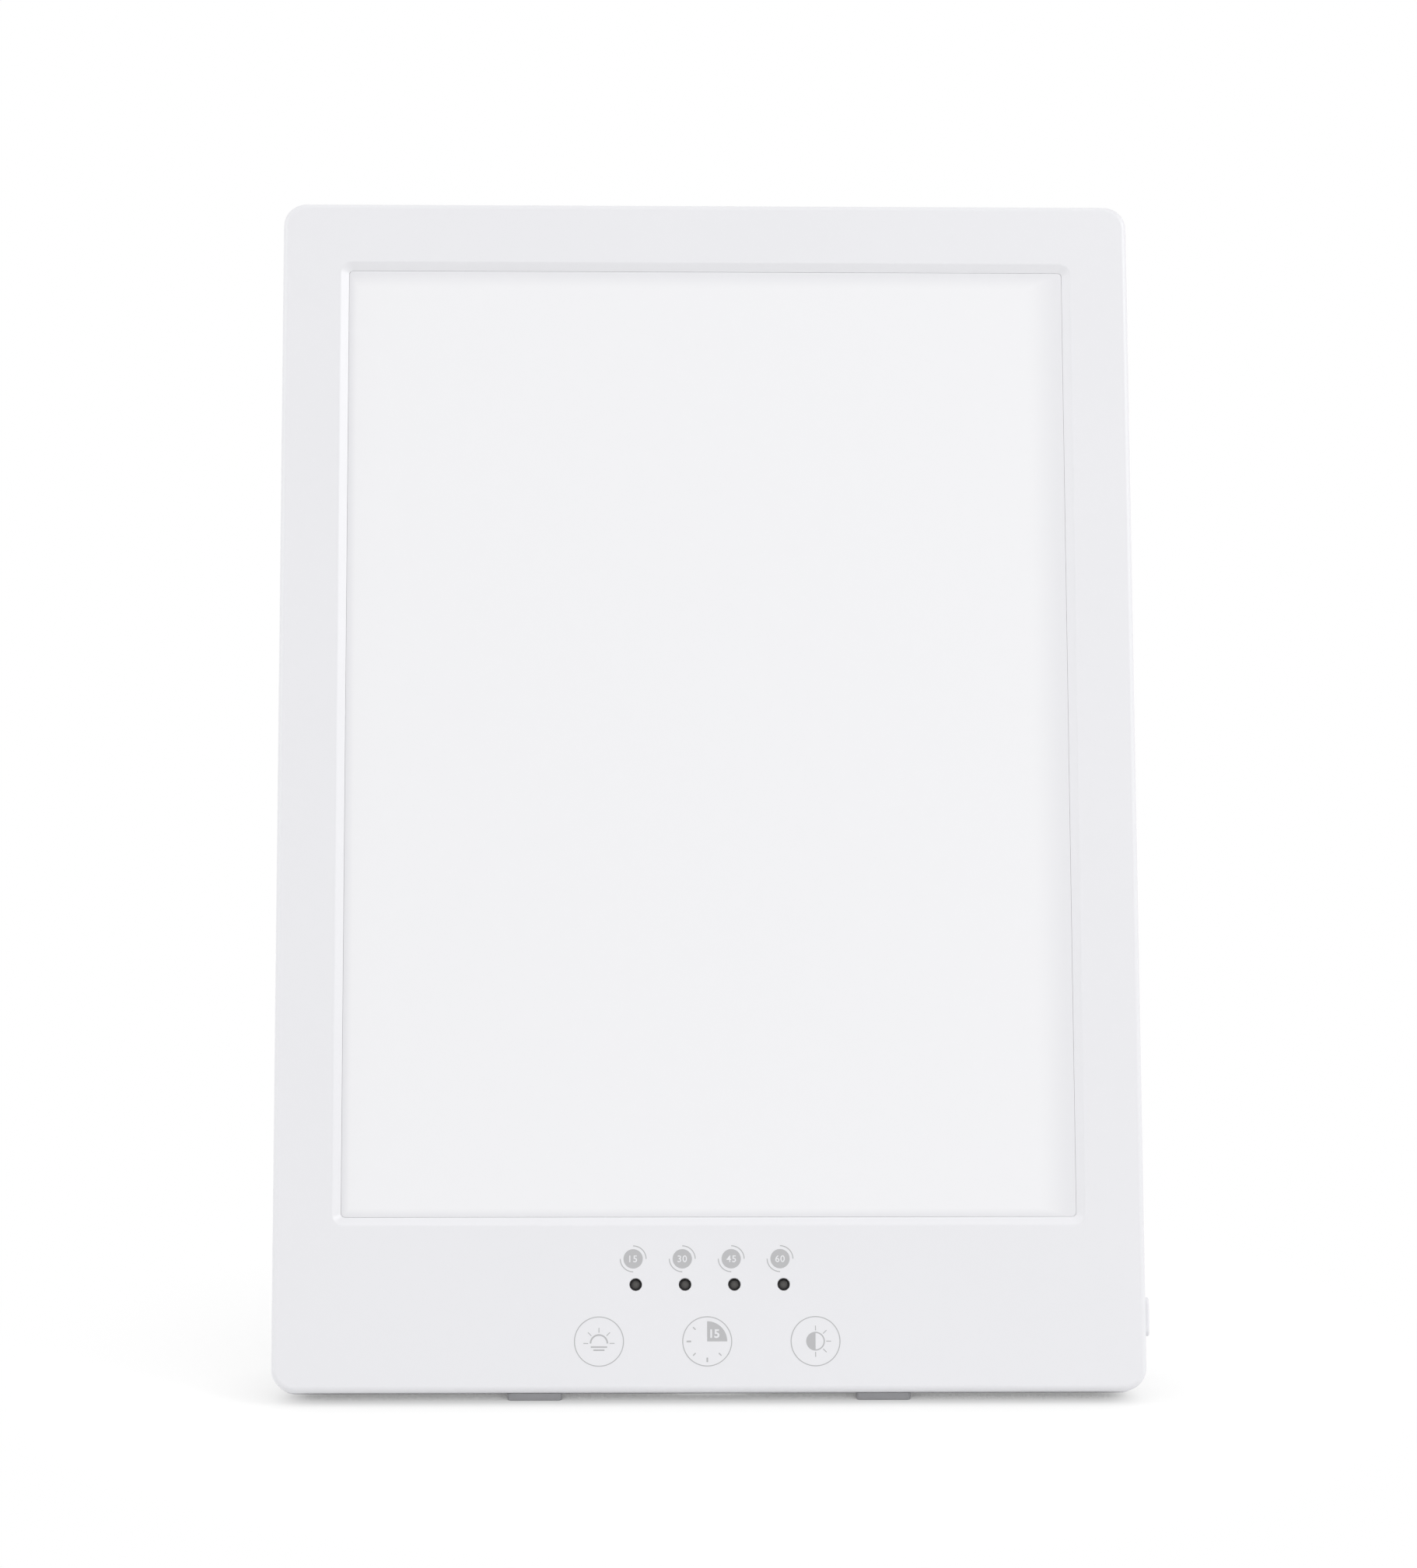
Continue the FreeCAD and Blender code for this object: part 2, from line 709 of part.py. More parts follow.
def make_led_wire(side):
    """A lead from the end of an LED board, round the control board's edge, to its connector."""
    x0 = (led_board_face + tape_face) / 2
    y0 = (y_guide + y_reflector) / 2
    z0 = window_mid_z - guide_half_h
    x1 = connector_x + connector_w / 2
    y1 = board_back + connector_h / 2
    route = [(x0, y0, z0), (x0, y0, z0 - wire_drop), (x0 - wire_r, y1, board_mid_z + wire_rise),
             (x1 + wire_run, y1, board_mid_z), (x1, y1, board_mid_z)]
    return bent_tube([Vec(side * x, y, z) for x, y, z in route], wire_r)


# ---- power inlet ------------------------------------------------------------
def on_jack(r, y0, y1):
    return rod_y(r, jack_x, board_mid_z, y0, y1)


def make_jack():
    inner_rear = case_t - case_wall
    body = box_on_board(jack_x, board_mid_z, jack_side, jack_side, inner_rear - board_back)
    nose = on_jack(jack_nose_r, inner_rear, case_t - jack_nose_recess)
    return body.fuse(nose).cut(on_jack(jack_bore_r, board_back + jack_floor, case_t)).removeSplitter()


def make_jack_pin():
    end = case_t - jack_nose_recess - jack_pin_recess
    pin = on_jack(jack_pin_r, board_back + jack_floor, end)
    return pin.makeFillet(jack_pin_edge_r, edges_where(pin, lambda e: same(e.CenterOfMass.y, end)))


def make_jack_contact():
    """The sleeve contact, a leaf against the bore's wall."""
    y0 = board_back + jack_floor
    ring = on_jack(jack_bore_r, y0, y0 + contact_l).cut(on_jack(jack_bore_r - contact_t, y0, y0 + contact_l))
    half = contact_w / 2
    return ring.common(block(jack_x - jack_side, jack_x, y0, case_t, board_mid_z - half, board_mid_z + half))


# ---- power button -----------------------------------------------------------
def make_power_button():
    """The cap, its inner rim and the stem that pushes the switch."""
    face = case_w / 2 + button_proud
    cap = pill_x(button_w / 2, button_l / 2, rim_out, face)
    cap = cap.makeFillet(button_edge_r, edges_where(cap, lambda e: same(e.BoundBox.XMin, face)))
    rim = pill_x(button_w / 2 + button_rim, button_l / 2 + button_rim, rim_in, rim_out)
    stem = rod_x(button_stem_r, button_y, button_z, stem_end, rim_in)
    return cap.fuse([rim, stem]).removeSplitter()


def plunger_bar(grow, x0):
    half_y, half_z = plunger_w / 2 + grow, plunger_l / 2 + grow
    return block(x0, stem_end, button_y - half_y, button_y + half_y, button_z - half_z, button_z + half_z)


def make_power_switch():
    body = block(switch_end - switch_l, switch_end, board_front - switch_h, board_front,
                 button_z - switch_half_z, button_z + switch_half_z)
    return body.cut(plunger_bar(plunger_clear, switch_end - plunger_inside - button_travel - plunger_clear))


# ---- kickstand, drawn folded about its hinge axis and then swung open --------
def leg_sole_z(y, proud):
    """Folded-frame height, at depth y, of a plane that is level when the stand is open."""
    return -(hinge_height - proud + y * math.sin(beta)) / math.cos(beta)


def level_ended(half_w, y0, y1, top, bottom):
    """A bar whose ends lie level when open, at two heights above the sole."""
    outline = [(y0, leg_sole_z(y0, top)), (y1, leg_sole_z(y1, top)),
               (y1, leg_sole_z(y1, bottom)), (y0, leg_sole_z(y0, bottom))]
    return profile_x(outline, -half_w, half_w)


def heel():
    """The part above the axis, whose flank stops on the pocket's floor when the leg is open."""
    reach = hinge_y - pocket_floor - heel_gap
    flank = [((z * math.sin(alpha) - reach) / math.cos(alpha), z) for z in (heel_l, heel_flank_z)]
    return profile_x([(0, 0), (leg_outer, 0), (leg_outer, heel_l), *flank], -leg_w / 2, leg_w / 2)


def make_leg():
    half = leg_w / 2
    solid = level_ended(half, -leg_inner, leg_outer, hinge_height + leg_inner, pad_proud)
    solid = solid.cut(block(-half, half, -leg_inner, leg_outer, 0, hinge_height))
    corner = edges_where(solid, lambda e: same(abs(e.CenterOfMass.x), half)
                         and e.BoundBox.ZMax < -hinge_height / 2 and e.BoundBox.YLength > leg_inner)
    solid = solid.makeFillet(leg_foot_corner_r, corner)
    inner_x = half - leg_rail
    low = leg_sole_z(0, pad_proud) + leg_foot_rail
    high = -leg_inner - leg_rail
    skin = leg_outer - leg_skin
    solid = solid.cut(block(-inner_x, inner_x, -leg_inner, skin, low, high))
    rib_y = leg_rib_low - leg_inner
    half_t = leg_rib_t / 2
    ribs = [block(x - half_t, x + half_t, rib_y, skin, low, high) for x in (-leg_rib_x, leg_rib_x)]
    for z in spread(leg_cross_rib_count + 2, low, high)[1:-1]:
        ribs.append(block(-inner_x, inner_x, rib_y, skin, z - half_t, z + half_t))
    holes = [rod_x(pin_r + pin_clear, 0, 0, side * (half - pin_in_leg), side * half) for side in sides]
    knuckle = rod_x(leg_inner, 0, 0, -half, half)
    return solid.fuse([*ribs, knuckle, heel()]).cut([*holes, make_foot_pad()]).removeSplitter()


def make_foot_pad():
    """The rubber strip, from its seat in the leg to its sole."""
    return level_ended(pad_w / 2, -pad_half, pad_half, pad_proud + pad_sunk, 0)


def swung_open(shape):
    shape.rotate(Vec(0, 0, 0), Vec(1, 0, 0), stand_open)
    shape.translate(Vec(0, hinge_y, hinge_z))
    return shape


def make_hinge_pin(side):
    x_in, x_out = leg_w / 2 - pin_in_leg + pin_end_gap, pocket_half_w + bearing_l
    return rod_x(pin_r, hinge_y, hinge_z, side * x_in, side * x_out)


def make_hinge_washer(side):
    middle = (leg_w / 2 + pocket_half_w) / 2
    x0, x1 = side * (middle - washer_t / 2), side * (middle + washer_t / 2)
    return rod_x(washer_r, hinge_y, hinge_z, x0, x1).cut(rod_x(pin_r, hinge_y, hinge_z, x0, x1))


# ---- screws -----------------------------------------------------------------
def make_case_screws():
    return group(screw(x, z, bezel_depth + seat_t, case_screw_l, case_screw_r, case_head_r, case_head_h)
                 for x, z in case_screw_points())


def make_plate_screws():
    return group(screw(x, z, y_plate_back, plate_screw_l, plate_screw_r, plate_head_r, plate_head_h)
                 for x, z in plate_screw_points())


def make_board_screws():
    return group(screw(x, z, board_back, board_screw_l, board_screw_r, board_head_r, board_head_h)
                 for x, z in board_screw_points())


# ---- the whole lamp ---------------------------------------------------------
def make_nodes():
    """Every piece in the case frame, by node name."""
    nodes = {
        "front_bezel": make_front_bezel(),
        "rear_cover": make_rear_cover(),
        "diffuser_gasket": make_gasket(),
        "diffuser_panel": make_diffuser(),
        "prism_film": make_film(y_films),
        "diffusion_film": make_film(y_films + film_t),
        "light_guide": sheet(guide_half_w, guide_half_h, y_guide, y_reflector),
        "reflector_sheet": sheet(guide_half_w, guide_half_h, y_reflector, y_plate),
        "back_plate": make_back_plate(),
        "control_board": make_control_board(),
        "touch_pads": make_touch_pads(),
        "indicator_light_pipe": make_light_pipe(),
        "indicator_leds": make_indicator_leds(),
        "controller_chip": box_on_board(0, board_mid_z, chip_side, chip_side, chip_t),
        "driver_inductors": make_inductors(),
        "filter_capacitors": make_capacitors(),
        "board_connectors": make_connectors(),
        "power_jack": make_jack(),
        "power_jack_pin": make_jack_pin(),
        "power_jack_contact": make_jack_contact(),
        "power_switch": make_power_switch(),
        "switch_plunger": plunger_bar(0, switch_end - plunger_inside),
        "power_button": make_power_button(),
        "kickstand_leg": swung_open(make_leg()),
        "kickstand_foot_pad": swung_open(make_foot_pad()),
        "case_screws": make_case_screws(),
        "plate_screws": make_plate_screws(),
        "board_screws": make_board_screws(),
    }
    for side, word in zip(sides, ("left", "right")):
        nodes["led_board_" + word] = make_led_board(side)
        nodes["led_row_" + word] = make_led_row(side)
        nodes["thermal_tape_" + word] = make_tape(side)
        nodes["led_wire_" + word] = make_led_wire(side)
        nodes["front_foot_" + word] = make_front_foot(side)
        nodes["hinge_pin_" + word] = make_hinge_pin(side)
        nodes["hinge_washer_" + word] = make_hinge_washer(side)
    return nodes


def lean_back(shape):
    """Case frame to lamp frame, before the origin is set."""
    shape.rotate(Vec(0, 0, 0), Vec(1, 0, 0), -lean)
    shape.translate(Vec(0, 0, floor_drop))
    return shape


def place_nodes():
    """Every piece in the lamp frame, with the origin under the middle of the lamp's depth."""
    nodes = {name: lean_back(shape) for name, shape in make_nodes().items()}
    middle = group(nodes.values()).optimalBoundingBox(False).Center
    for shape in nodes.values():
        shape.translate(Vec(0, -middle.y, 0))
    return nodes


def main():
    os.makedirs("parts", exist_ok=True)
    for name, shape in place_nodes().items():
        shape.exportStep(os.path.join("parts", name + ".step"))


main()
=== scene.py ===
import json
import math

import bmesh
import bpy
from mathutils import Matrix, Vector


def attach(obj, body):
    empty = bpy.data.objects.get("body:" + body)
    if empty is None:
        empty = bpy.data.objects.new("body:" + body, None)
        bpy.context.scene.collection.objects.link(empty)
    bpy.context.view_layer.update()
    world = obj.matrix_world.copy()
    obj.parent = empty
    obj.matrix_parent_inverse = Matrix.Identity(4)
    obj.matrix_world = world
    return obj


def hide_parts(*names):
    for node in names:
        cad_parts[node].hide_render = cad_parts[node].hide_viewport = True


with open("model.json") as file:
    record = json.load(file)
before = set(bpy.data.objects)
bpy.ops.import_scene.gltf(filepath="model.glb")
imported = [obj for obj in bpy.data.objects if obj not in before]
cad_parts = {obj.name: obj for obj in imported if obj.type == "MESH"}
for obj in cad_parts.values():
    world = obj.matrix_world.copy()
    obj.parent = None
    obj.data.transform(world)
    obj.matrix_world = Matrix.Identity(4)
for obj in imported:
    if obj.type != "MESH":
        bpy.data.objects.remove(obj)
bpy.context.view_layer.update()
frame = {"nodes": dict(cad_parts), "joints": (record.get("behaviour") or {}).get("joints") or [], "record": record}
print("frame loaded,", len(frame["nodes"]), "nodes")

mm = 0.001
nodes = frame["nodes"]
hinge = Vector(next(j for j in frame["joints"] if j["name"] == "kickstand_hinge")["pos_m"])

# pieces of the case are modelled upright, in mm: x from the middle, y back from the front
# face, z up from the bottom edge; casePlace then leans them back about the stand's hinge
case = {
    "lean": 18,
    "width": 225,
    "height": 315,
    "cornerR": 6,
    "seamDepth": 11,        # where the two shells meet
    "seamChamfer": 0.3,
    "hingeDepth": 16.2,
    "hingeHeight": 196,
}
# what a piece and its finish share: the window in the front and the light pipe behind the holes
window = {"halfW": 95, "low": 44.8, "high": 296.8, "cornerR": 1.2}
lightPipe = {
    "front": 0.6,
    "dome": 0.5,
    "domeSteps": (0.85, 0.65, 0.45, 0.25, 0.1),     # shares of the radius
    "r": 1.55,
    "back": 7,
    "collarR": 2.3,
    "collarFront": 1.6,
    "barFront": 2.5,
    "barBack": 3.7,
    "barH": 4,
    "barSoft": 0.15,
    "lap": 0.2,
}
caseHalf = case["width"] / 2
casePlace = (Matrix.Translation(hinge) @ Matrix.Rotation(math.radians(-case["lean"]), 4, "X")
             @ Matrix.Translation(Vector((0, -case["hingeDepth"], -case["hingeHeight"])) * mm))


# modelling helpers; every length that they take is in mm
def near(a, b, room=0.01):
    return abs(a - b) < room


def within(x, z, halfW, low, high, room=0.1):
    return abs(x) < halfW + room and low - room < z < high + room


def onRim(x, z, holes):
    # on the edge of one of the round holes, each given by its x, z and radius
    return any(near(math.hypot(x - holeX, z - holeZ), r, 0.03) for holeX, holeZ, r in holes)


def onlySelect(piece):
    bpy.ops.object.select_all(action="DESELECT")
    piece.select_set(True)
    bpy.context.view_layer.objects.active = piece


def applyPlace(piece):
    onlySelect(piece)
    bpy.ops.object.transform_apply(location=True, rotation=True, scale=True)


def newPiece(name, primitive, extent, at, turn=(0, 0, 0), **settings):
    # a primitive of unit size, stretched, turned and moved to its place
    bpy.ops.object.select_all(action="DESELECT")
    primitive(**settings)
    piece = bpy.context.object
    piece.name = name
    piece.data.name = name
    piece.scale = Vector(extent) * mm
    piece.rotation_euler = [math.radians(a) for a in turn]
    piece.location = Vector(at) * mm
    applyPlace(piece)
    return piece


def newBlock(name, extent, at, turn=(0, 0, 0)):
    return newPiece(name, bpy.ops.mesh.primitive_cube_add, extent, at, turn, size=1)


def newSheet(name, width, height, at, turn=(90, 0, 0)):
    # upright and across the panel, unless it is turned another way
    return newPiece(name, bpy.ops.mesh.primitive_plane_add, (width, height, 1), at, turn, size=1)


def newRod(name, r, length, at, turn, vertices):
    return newPiece(name, bpy.ops.mesh.primitive_cylinder_add, (2 * r, 2 * r, length), at, turn,
                    vertices=vertices, radius=0.5, depth=1)


def rodAlongY(name, x, z, r, y0, y1, vertices=40):
    return newRod(name, r, y1 - y0, (x, (y0 + y1) / 2, z), (90, 0, 0), vertices)


def openMesh(piece):
    onlySelect(piece)
    bpy.ops.object.mode_set(mode="EDIT")


def closeMesh():
    bpy.ops.mesh.select_all(action="SELECT")
    bpy.ops.mesh.normals_make_consistent(inside=False)
    if bmesh.from_edit_mesh(bpy.context.edit_object.data).calc_volume(signed=True) < 0:
        bpy.ops.mesh.flip_normals()
    bpy.ops.object.mode_set(mode="OBJECT")


def choose(kind, test=lambda x, y, z: True, byMiddle=False, creaseOnly=False):
    # selects the corners, edges or faces whose points, in mm, all pass the test
    bpy.context.tool_settings.mesh_select_mode = [kind == k for k in ("VERT", "EDGE", "FACE")]
    bpy.ops.mesh.select_all(action="DESELECT")
    mesh = bpy.context.edit_object.data
    cage = bmesh.from_edit_mesh(mesh)
    for part in {"VERT": cage.verts, "EDGE": cage.edges, "FACE": cage.faces}[kind]:
        points = [part.co] if kind == "VERT" else [corner.co for corner in part.verts]
        if byMiddle:
            points = [sum(points, Vector()) / len(points)]
        if creaseOnly and part.calc_face_angle(0) < math.radians(20):
            continue
        if all(test(*(point / mm)) for point in points):
            part.select_set(True)
    bmesh.update_edit_mesh(mesh)


def chooseAt(kind, **plane):
    # selects what lies in the plane at one x, y or z
    (axis, place), = plane.items()
    choose(kind, lambda *point: near(point["xyz".index(axis)], place))


def chosenBox():
    cage = bmesh.from_edit_mesh(bpy.context.edit_object.data)
    points = [corner.co / mm for corner in cage.verts if corner.select]
    return [(min(p[i] for p in points), max(p[i] for p in points)) for i in range(3)]


def fitChosen(halfW, low, high, deeper=0):
    # stretches what is selected to a rectangle and moves it back by deeper
    (x0, x1), (y0, y1), (z0, z1) = chosenBox()
    middle = Vector(((x0 + x1) / 2, (y0 + y1) / 2, (z0 + z1) / 2))
    stretch = (2 * halfW / (x1 - x0), 1, (high - low) / (z1 - z0))
    bpy.ops.transform.resize(value=stretch, center_override=middle * mm)
    bpy.ops.transform.translate(value=Vector((-middle.x, deeper, (low + high) / 2 - middle.z)) * mm)


def insetTo(halfW, cornerR, toHalfW, toCornerR, low, high, deeper=0):
    # insets the selected face so that its corners get the wanted radius once it is stretched
    inset = (cornerR * toHalfW - toCornerR * halfW) / (toHalfW - toCornerR)
    bpy.ops.mesh.inset(thickness=inset * mm)
    fitChosen(toHalfW, low, high, deeper)


def pushChosen(x=0, y=0, z=0):
    bpy.ops.mesh.extrude_region_move(TRANSFORM_OT_translate={"value": Vector((x, y, z)) * mm})


def moveChosen(x=0, y=0, z=0):
    bpy.ops.transform.translate(value=Vector((x, y, z)) * mm)


def softenChosen(width, segments):
    bpy.ops.mesh.bevel(offset=width * mm, segments=segments, affect="EDGES")


def roundSheet(piece, r, segments, roundEnds=False):
    # rounds a sheet's corners and selects its face; corners that meet stop just short and merge
    openMesh(piece)
    choose("VERT")
    share = 0.999 if roundEnds else 1
    bpy.ops.mesh.bevel(offset=r * share * mm, segments=segments, affect="VERTICES")
    if roundEnds:
        bpy.ops.mesh.remove_doubles(threshold=0.01 * mm)
    choose("FACE")


def applyModifier(piece, kind, **settings):
    onlySelect(piece)
    step = piece.modifiers.new("step", kind)
    for name, value in settings.items():
        setattr(step, name, value)
    bpy.ops.object.modifier_apply(modifier=step.name)


over = 1          # how far a cutter runs past what it cuts


def combine(piece, tool, operation="DIFFERENCE", selfCrossing=False):
    # cuts the tool out of the piece, or adds it, and removes the tool
    applyModifier(piece, "BOOLEAN", operation=operation, solver="EXACT", use_self=selfCrossing, object=tool)
    bpy.data.objects.remove(tool)


def twins(piece, places, names):
    # copies of a piece, each with its own mesh, moved from where it was modelled
    made = []
    for place, name in zip(places, names):
        twin = piece.copy()
        twin.data = piece.data.copy()
        twin.name = name
        twin.data.name = name
        bpy.context.scene.collection.objects.link(twin)
        twin.location = Vector(place) * mm
        applyPlace(twin)
        made.append(twin)
    bpy.data.objects.remove(piece)
    return made


def joined(pieces):
    bpy.ops.object.select_all(action="DESELECT")
    for piece in pieces:
        piece.select_set(True)
    bpy.context.view_layer.objects.active = pieces[0]
    bpy.ops.object.join()
    return pieces[0]


def repeated(piece, places):
    return joined(twins(piece, places, [piece.name + str(i) for i in range(len(places))]))


def smoothFinish(piece, angle=32):
    # round parts shade smoothly and flat parts stay flat
    onlySelect(piece)
    bpy.ops.object.shade_smooth_by_angle(angle=math.radians(angle))
    applyModifier(piece, "WEIGHTED_NORMAL", keep_sharp=True)


def softEdges(piece, width, segments=2, angle=30):
    applyModifier(piece, "BEVEL", width=width * mm, segments=segments, limit_method="ANGLE",
                  angle_limit=math.radians(angle))


def settle(piece, finish, body, place=casePlace, stoodFor=()):
    # puts a finished piece in the lamp and hands it to its body
    piece.matrix_world = place
    applyPlace(piece)
    piece.data.materials.clear()
    piece.data.materials.append(finish)
    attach(piece, body)
    if stoodFor:
        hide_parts(*stoodFor)


# materials
def linearColour(hexCode):
    channels = [int(hexCode[i:i + 2], 16) / 255 for i in (1, 3, 5)]
    return (*[c / 12.92 if c <= 0.04045 else ((c + 0.055) / 1.055) ** 2.4 for c in channels], 1)


def addNode(tree, kind, sockets=None, **settings):
    # one node with its settings; a socket is given a value or another node's output
    node = tree.nodes.new("ShaderNode" + kind)
    for name, value in settings.items():
        setattr(node, name, value)
    for socket, value in (sockets or {}).items():
        if isinstance(value, bpy.types.NodeSocket):
            tree.links.new(value, node.inputs[socket])
        else:
            node.inputs[socket].default_value = value
    return node


def startFinish(name):
    # a new material and the coordinates its pattern reads, turned so that they lie along the panel
    material = bpy.data.materials.new(name)
    material.use_nodes = True
    tree = material.node_tree
    tree.nodes.clear()
    coords = addNode(tree, "TexCoord").outputs["Object"]
    turned = addNode(tree, "Mapping", {"Vector": coords, "Rotation": (math.radians(case["lean"]), 0, 0)})
    return material, tree, turned.outputs[0]


def mixTones(tree, share, colours):
    # runs from the first colour to the second
    return addNode(tree, "Mix", {0: share, 6: linearColour(colours[0]), 7: linearColour(colours[1])},
                   data_type="RGBA").outputs[2]


def noiseOf(tree, coords, width, detail=2):
    return addNode(tree, "TexNoise", {"Vector": coords, "Scale": 1 / (width * mm),
                                      "Detail": detail}).outputs[0]


def reliefOf(tree, height, depth):
    return addNode(tree, "Bump", {"Height": height, "Distance": depth * mm}).outputs[0]


def mapRange(tree, value, start=0, end=1, toStart=0, toEnd=1, **settings):
    return addNode(tree, "MapRange", {"Value": value, "From Min": start, "From Max": end,
                                      "To Min": toStart, "To Max": toEnd}, **settings).outputs[0]


def endFinish(tree, sockets):
    shader = addNode(tree, "BsdfPrincipled", sockets)
    addNode(tree, "OutputMaterial", {"Surface": shader.outputs[0]})


def grainFinish(name, colours, drift, grain, depth, roughness, extra=None, stretch=(1, 1, 1)):
    # tone drifts between two colours over drift mm; grain mm of texture, depth mm deep, carries
    # the roughness from its smooth to its rough value; stretch draws the grain out along an axis
    material, tree, coords = startFinish(name)
    tone = mixTones(tree, noiseOf(tree, coords, drift), colours)
    drawn = addNode(tree, "Mapping", {"Vector": coords, "Scale": stretch})
    fine = noiseOf(tree, drawn.outputs[0], grain, 3)
    rough = mapRange(tree, fine, 0.3, 0.7, *roughness)
    endFinish(tree, {"Base Color": tone, "Roughness": rough, "Normal": reliefOf(tree, fine, depth),
                     **(extra or {})})
    return material


def stripeFinish(name, colours, pitch, axis, depth, roughness, extra=None):
    # even bands across the panel's x, y or z axis, as ridges, coils or tracks
    material, tree, coords = startFinish(name)
    bands = addNode(tree, "TexWave", {"Vector": coords, "Scale": math.pi / (10 * pitch * mm)},
                    bands_direction=axis).outputs[1]
    endFinish(tree, {"Base Color": mixTones(tree, bands, colours), "Roughness": roughness,
                     "Normal": reliefOf(tree, bands, depth), **(extra or {})})
    return material


def makeSolderMask():
    # green epoxy mask over etched copper: darker board shows between broad tracks
    copper = {"pitch": 5, "gap": (0.05, 0.09), "thick": 0.035}     # the gap in shares of the pitch
    material, tree, coords = startFinish("solderMaskBoard")
    tracks = addNode(tree, "TexVoronoi", {"Vector": coords, "Scale": 1 / (copper["pitch"] * mm),
                                          "Randomness": 0.55},
                     feature="DISTANCE_TO_EDGE", distance="EUCLIDEAN")
    edge = mapRange(tree, tracks.outputs[0], *copper["gap"])
    endFinish(tree, {"Base Color": mixTones(tree, edge, ("#14432B", "#1E5B3A")), "Roughness": 0.28,
                     "Normal": reliefOf(tree, edge, copper["thick"])})
    return material


def makeLedPackage():
    # white moulded packages at the strip's pitch, each with a yellow phosphor window
    strip = {"pitch": 8.2, "window": 3.4, "edge": 0.2}
    material, tree, coords = startFinish("ledPhosphor")
    along = addNode(tree, "SeparateXYZ", {0: coords}).outputs[2]
    turn = addNode(tree, "Math", {0: along, 1: strip["pitch"] * mm / 2}, operation="PINGPONG")
    half = strip["window"] / 2
    pane = mapRange(tree, turn.outputs[0], half * mm, (half + strip["edge"]) * mm)
    tone = mixTones(tree, pane, ("#E9D66B", "#F2F1EA"))
    relief = reliefOf(tree, noiseOf(tree, coords, 0.3), 0.01)
    endFinish(tree, {"Base Color": tone, "Roughness": 0.35, "Normal": relief})
    return material


acrylicIor = 1.49


def makeLightGuide():
    # polished acrylic, printed behind with white dots that turn the light forward
    guide = {"dotPitch": 2.4, "dotShare": 0.32, "dotEdge": 0.06}
    material, tree, coords = startFinish("polishedAcrylicGuide")
    dots = addNode(tree, "TexVoronoi", {"Vector": coords, "Scale": 1 / (guide["dotPitch"] * mm),
                                        "Randomness": 0})
    dot = mapRange(tree, dots.outputs[0], guide["dotShare"], guide["dotShare"] + guide["dotEdge"])
    endFinish(tree, {"Base Color": mixTones(tree, dot, ("#FFFFFF", "#EAF4F6")),
                     "Roughness": mapRange(tree, dot, 0, 1, 0.6, 0.06), "Transmission Weight": 0.6,
                     "IOR": acrylicIor})
    return material


def makeOpalAcrylic():
    # cast white through and through, with a matt face that has no sharp reflections; painted shade
    # makes a band along the window a little darker, widest on the right
    paintedBorderShade = {"sides": (2.5, 10.5), "ends": (2.5, 5), "colours": ("#E7E7EA", "#F1F1F3")}
    material, tree, coords = startFinish("opalAcrylic")
    x, y, z = addNode(tree, "SeparateXYZ", {0: coords}).outputs
    halfH = (window["high"] - window["low"]) / 2
    middleZ = (window["low"] + halfH) * mm - casePlace.inverted().translation.z
    fromMiddle = addNode(tree, "Math", {0: z, 1: middleZ}, operation="SUBTRACT").outputs[0]
    nearest = 1                # how far into its band the nearest border is
    for along, half, bands in ((x, window["halfW"], paintedBorderShade["sides"]), (fromMiddle, halfH, paintedBorderShade["ends"])):
        for way, band in zip((1, -1), bands):
            share = addNode(tree, "Math", {0: along, 1: way / (band * mm), 2: half / band},
                            operation="MULTIPLY_ADD")
            nearest = addNode(tree, "Math", {0: share.outputs[0], 1: nearest}, operation="MINIMUM").outputs[0]
    # painted shade: the colour darkens towards the window's border
    fade = mapRange(tree, nearest, interpolation_type="SMOOTHSTEP")
    relief = reliefOf(tree, noiseOf(tree, coords, 0.4, 3), 0.002)
    endFinish(tree, {"Base Color": mixTones(tree, fade, paintedBorderShade["colours"]), "Roughness": 0.54,
                     "Normal": relief, "IOR": acrylicIor})
    return material


def makeSmokedAcrylic():
    # near black from the side, with a painted highlight: the top of each dome is painted paler
    material, tree, coords = startFinish("smokedAcrylic")
    depth = addNode(tree, "SeparateXYZ", {0: coords}).outputs[1]
    top = lightPipe["front"] * mm - casePlace.inverted().translation.y
    # painted highlight: paler at the top of the dome, near black halfway down it
    shade = mapRange(tree, depth, top, top + lightPipe["dome"] * mm / 2)
    rough = mapRange(tree, noiseOf(tree, coords, 0.3), 0, 1, 0.12, 0.22)
    endFinish(tree, {"Base Color": mixTones(tree, shade, ("#4C4A48", "#141211")), "Roughness": rough,
                     "IOR": acrylicIor})
    return material


# satin ABS from a polished tool: even, with a soft wide sheen; its grain is drawn at 0.5 mm,
# coarser than the real one, so that it shows at all
satinAbs = grainFinish("satinMouldedAbs", ("#EBEBEE", "#E9E9EC"), 60, 0.5, 0.0025, (0.37, 0.43))
# ABS from a spark-eroded tool: a fine pebbled skin that scatters the sheen
texturedAbs = grainFinish("sparkErodedAbs", ("#E9E9EC", "#E5E5E9"), 50, 0.7, 0.03, (0.5, 0.62))
# cast opal acrylic: even and matt, with painted shade making it a little darker along the window
opalAcrylic = makeOpalAcrylic()
# screen-printed ink: flat grey, a little rougher than the plastic under it
printedInk = grainFinish("screenPrintedInk", ("#BCBCBE", "#B9B9BB"), 8, 0.15, 0.003, (0.5, 0.6))
# smoke-tinted acrylic: glossy and nearly black, with a painted highlight on the top of each dome
smokedAcrylic = makeSmokedAcrylic()

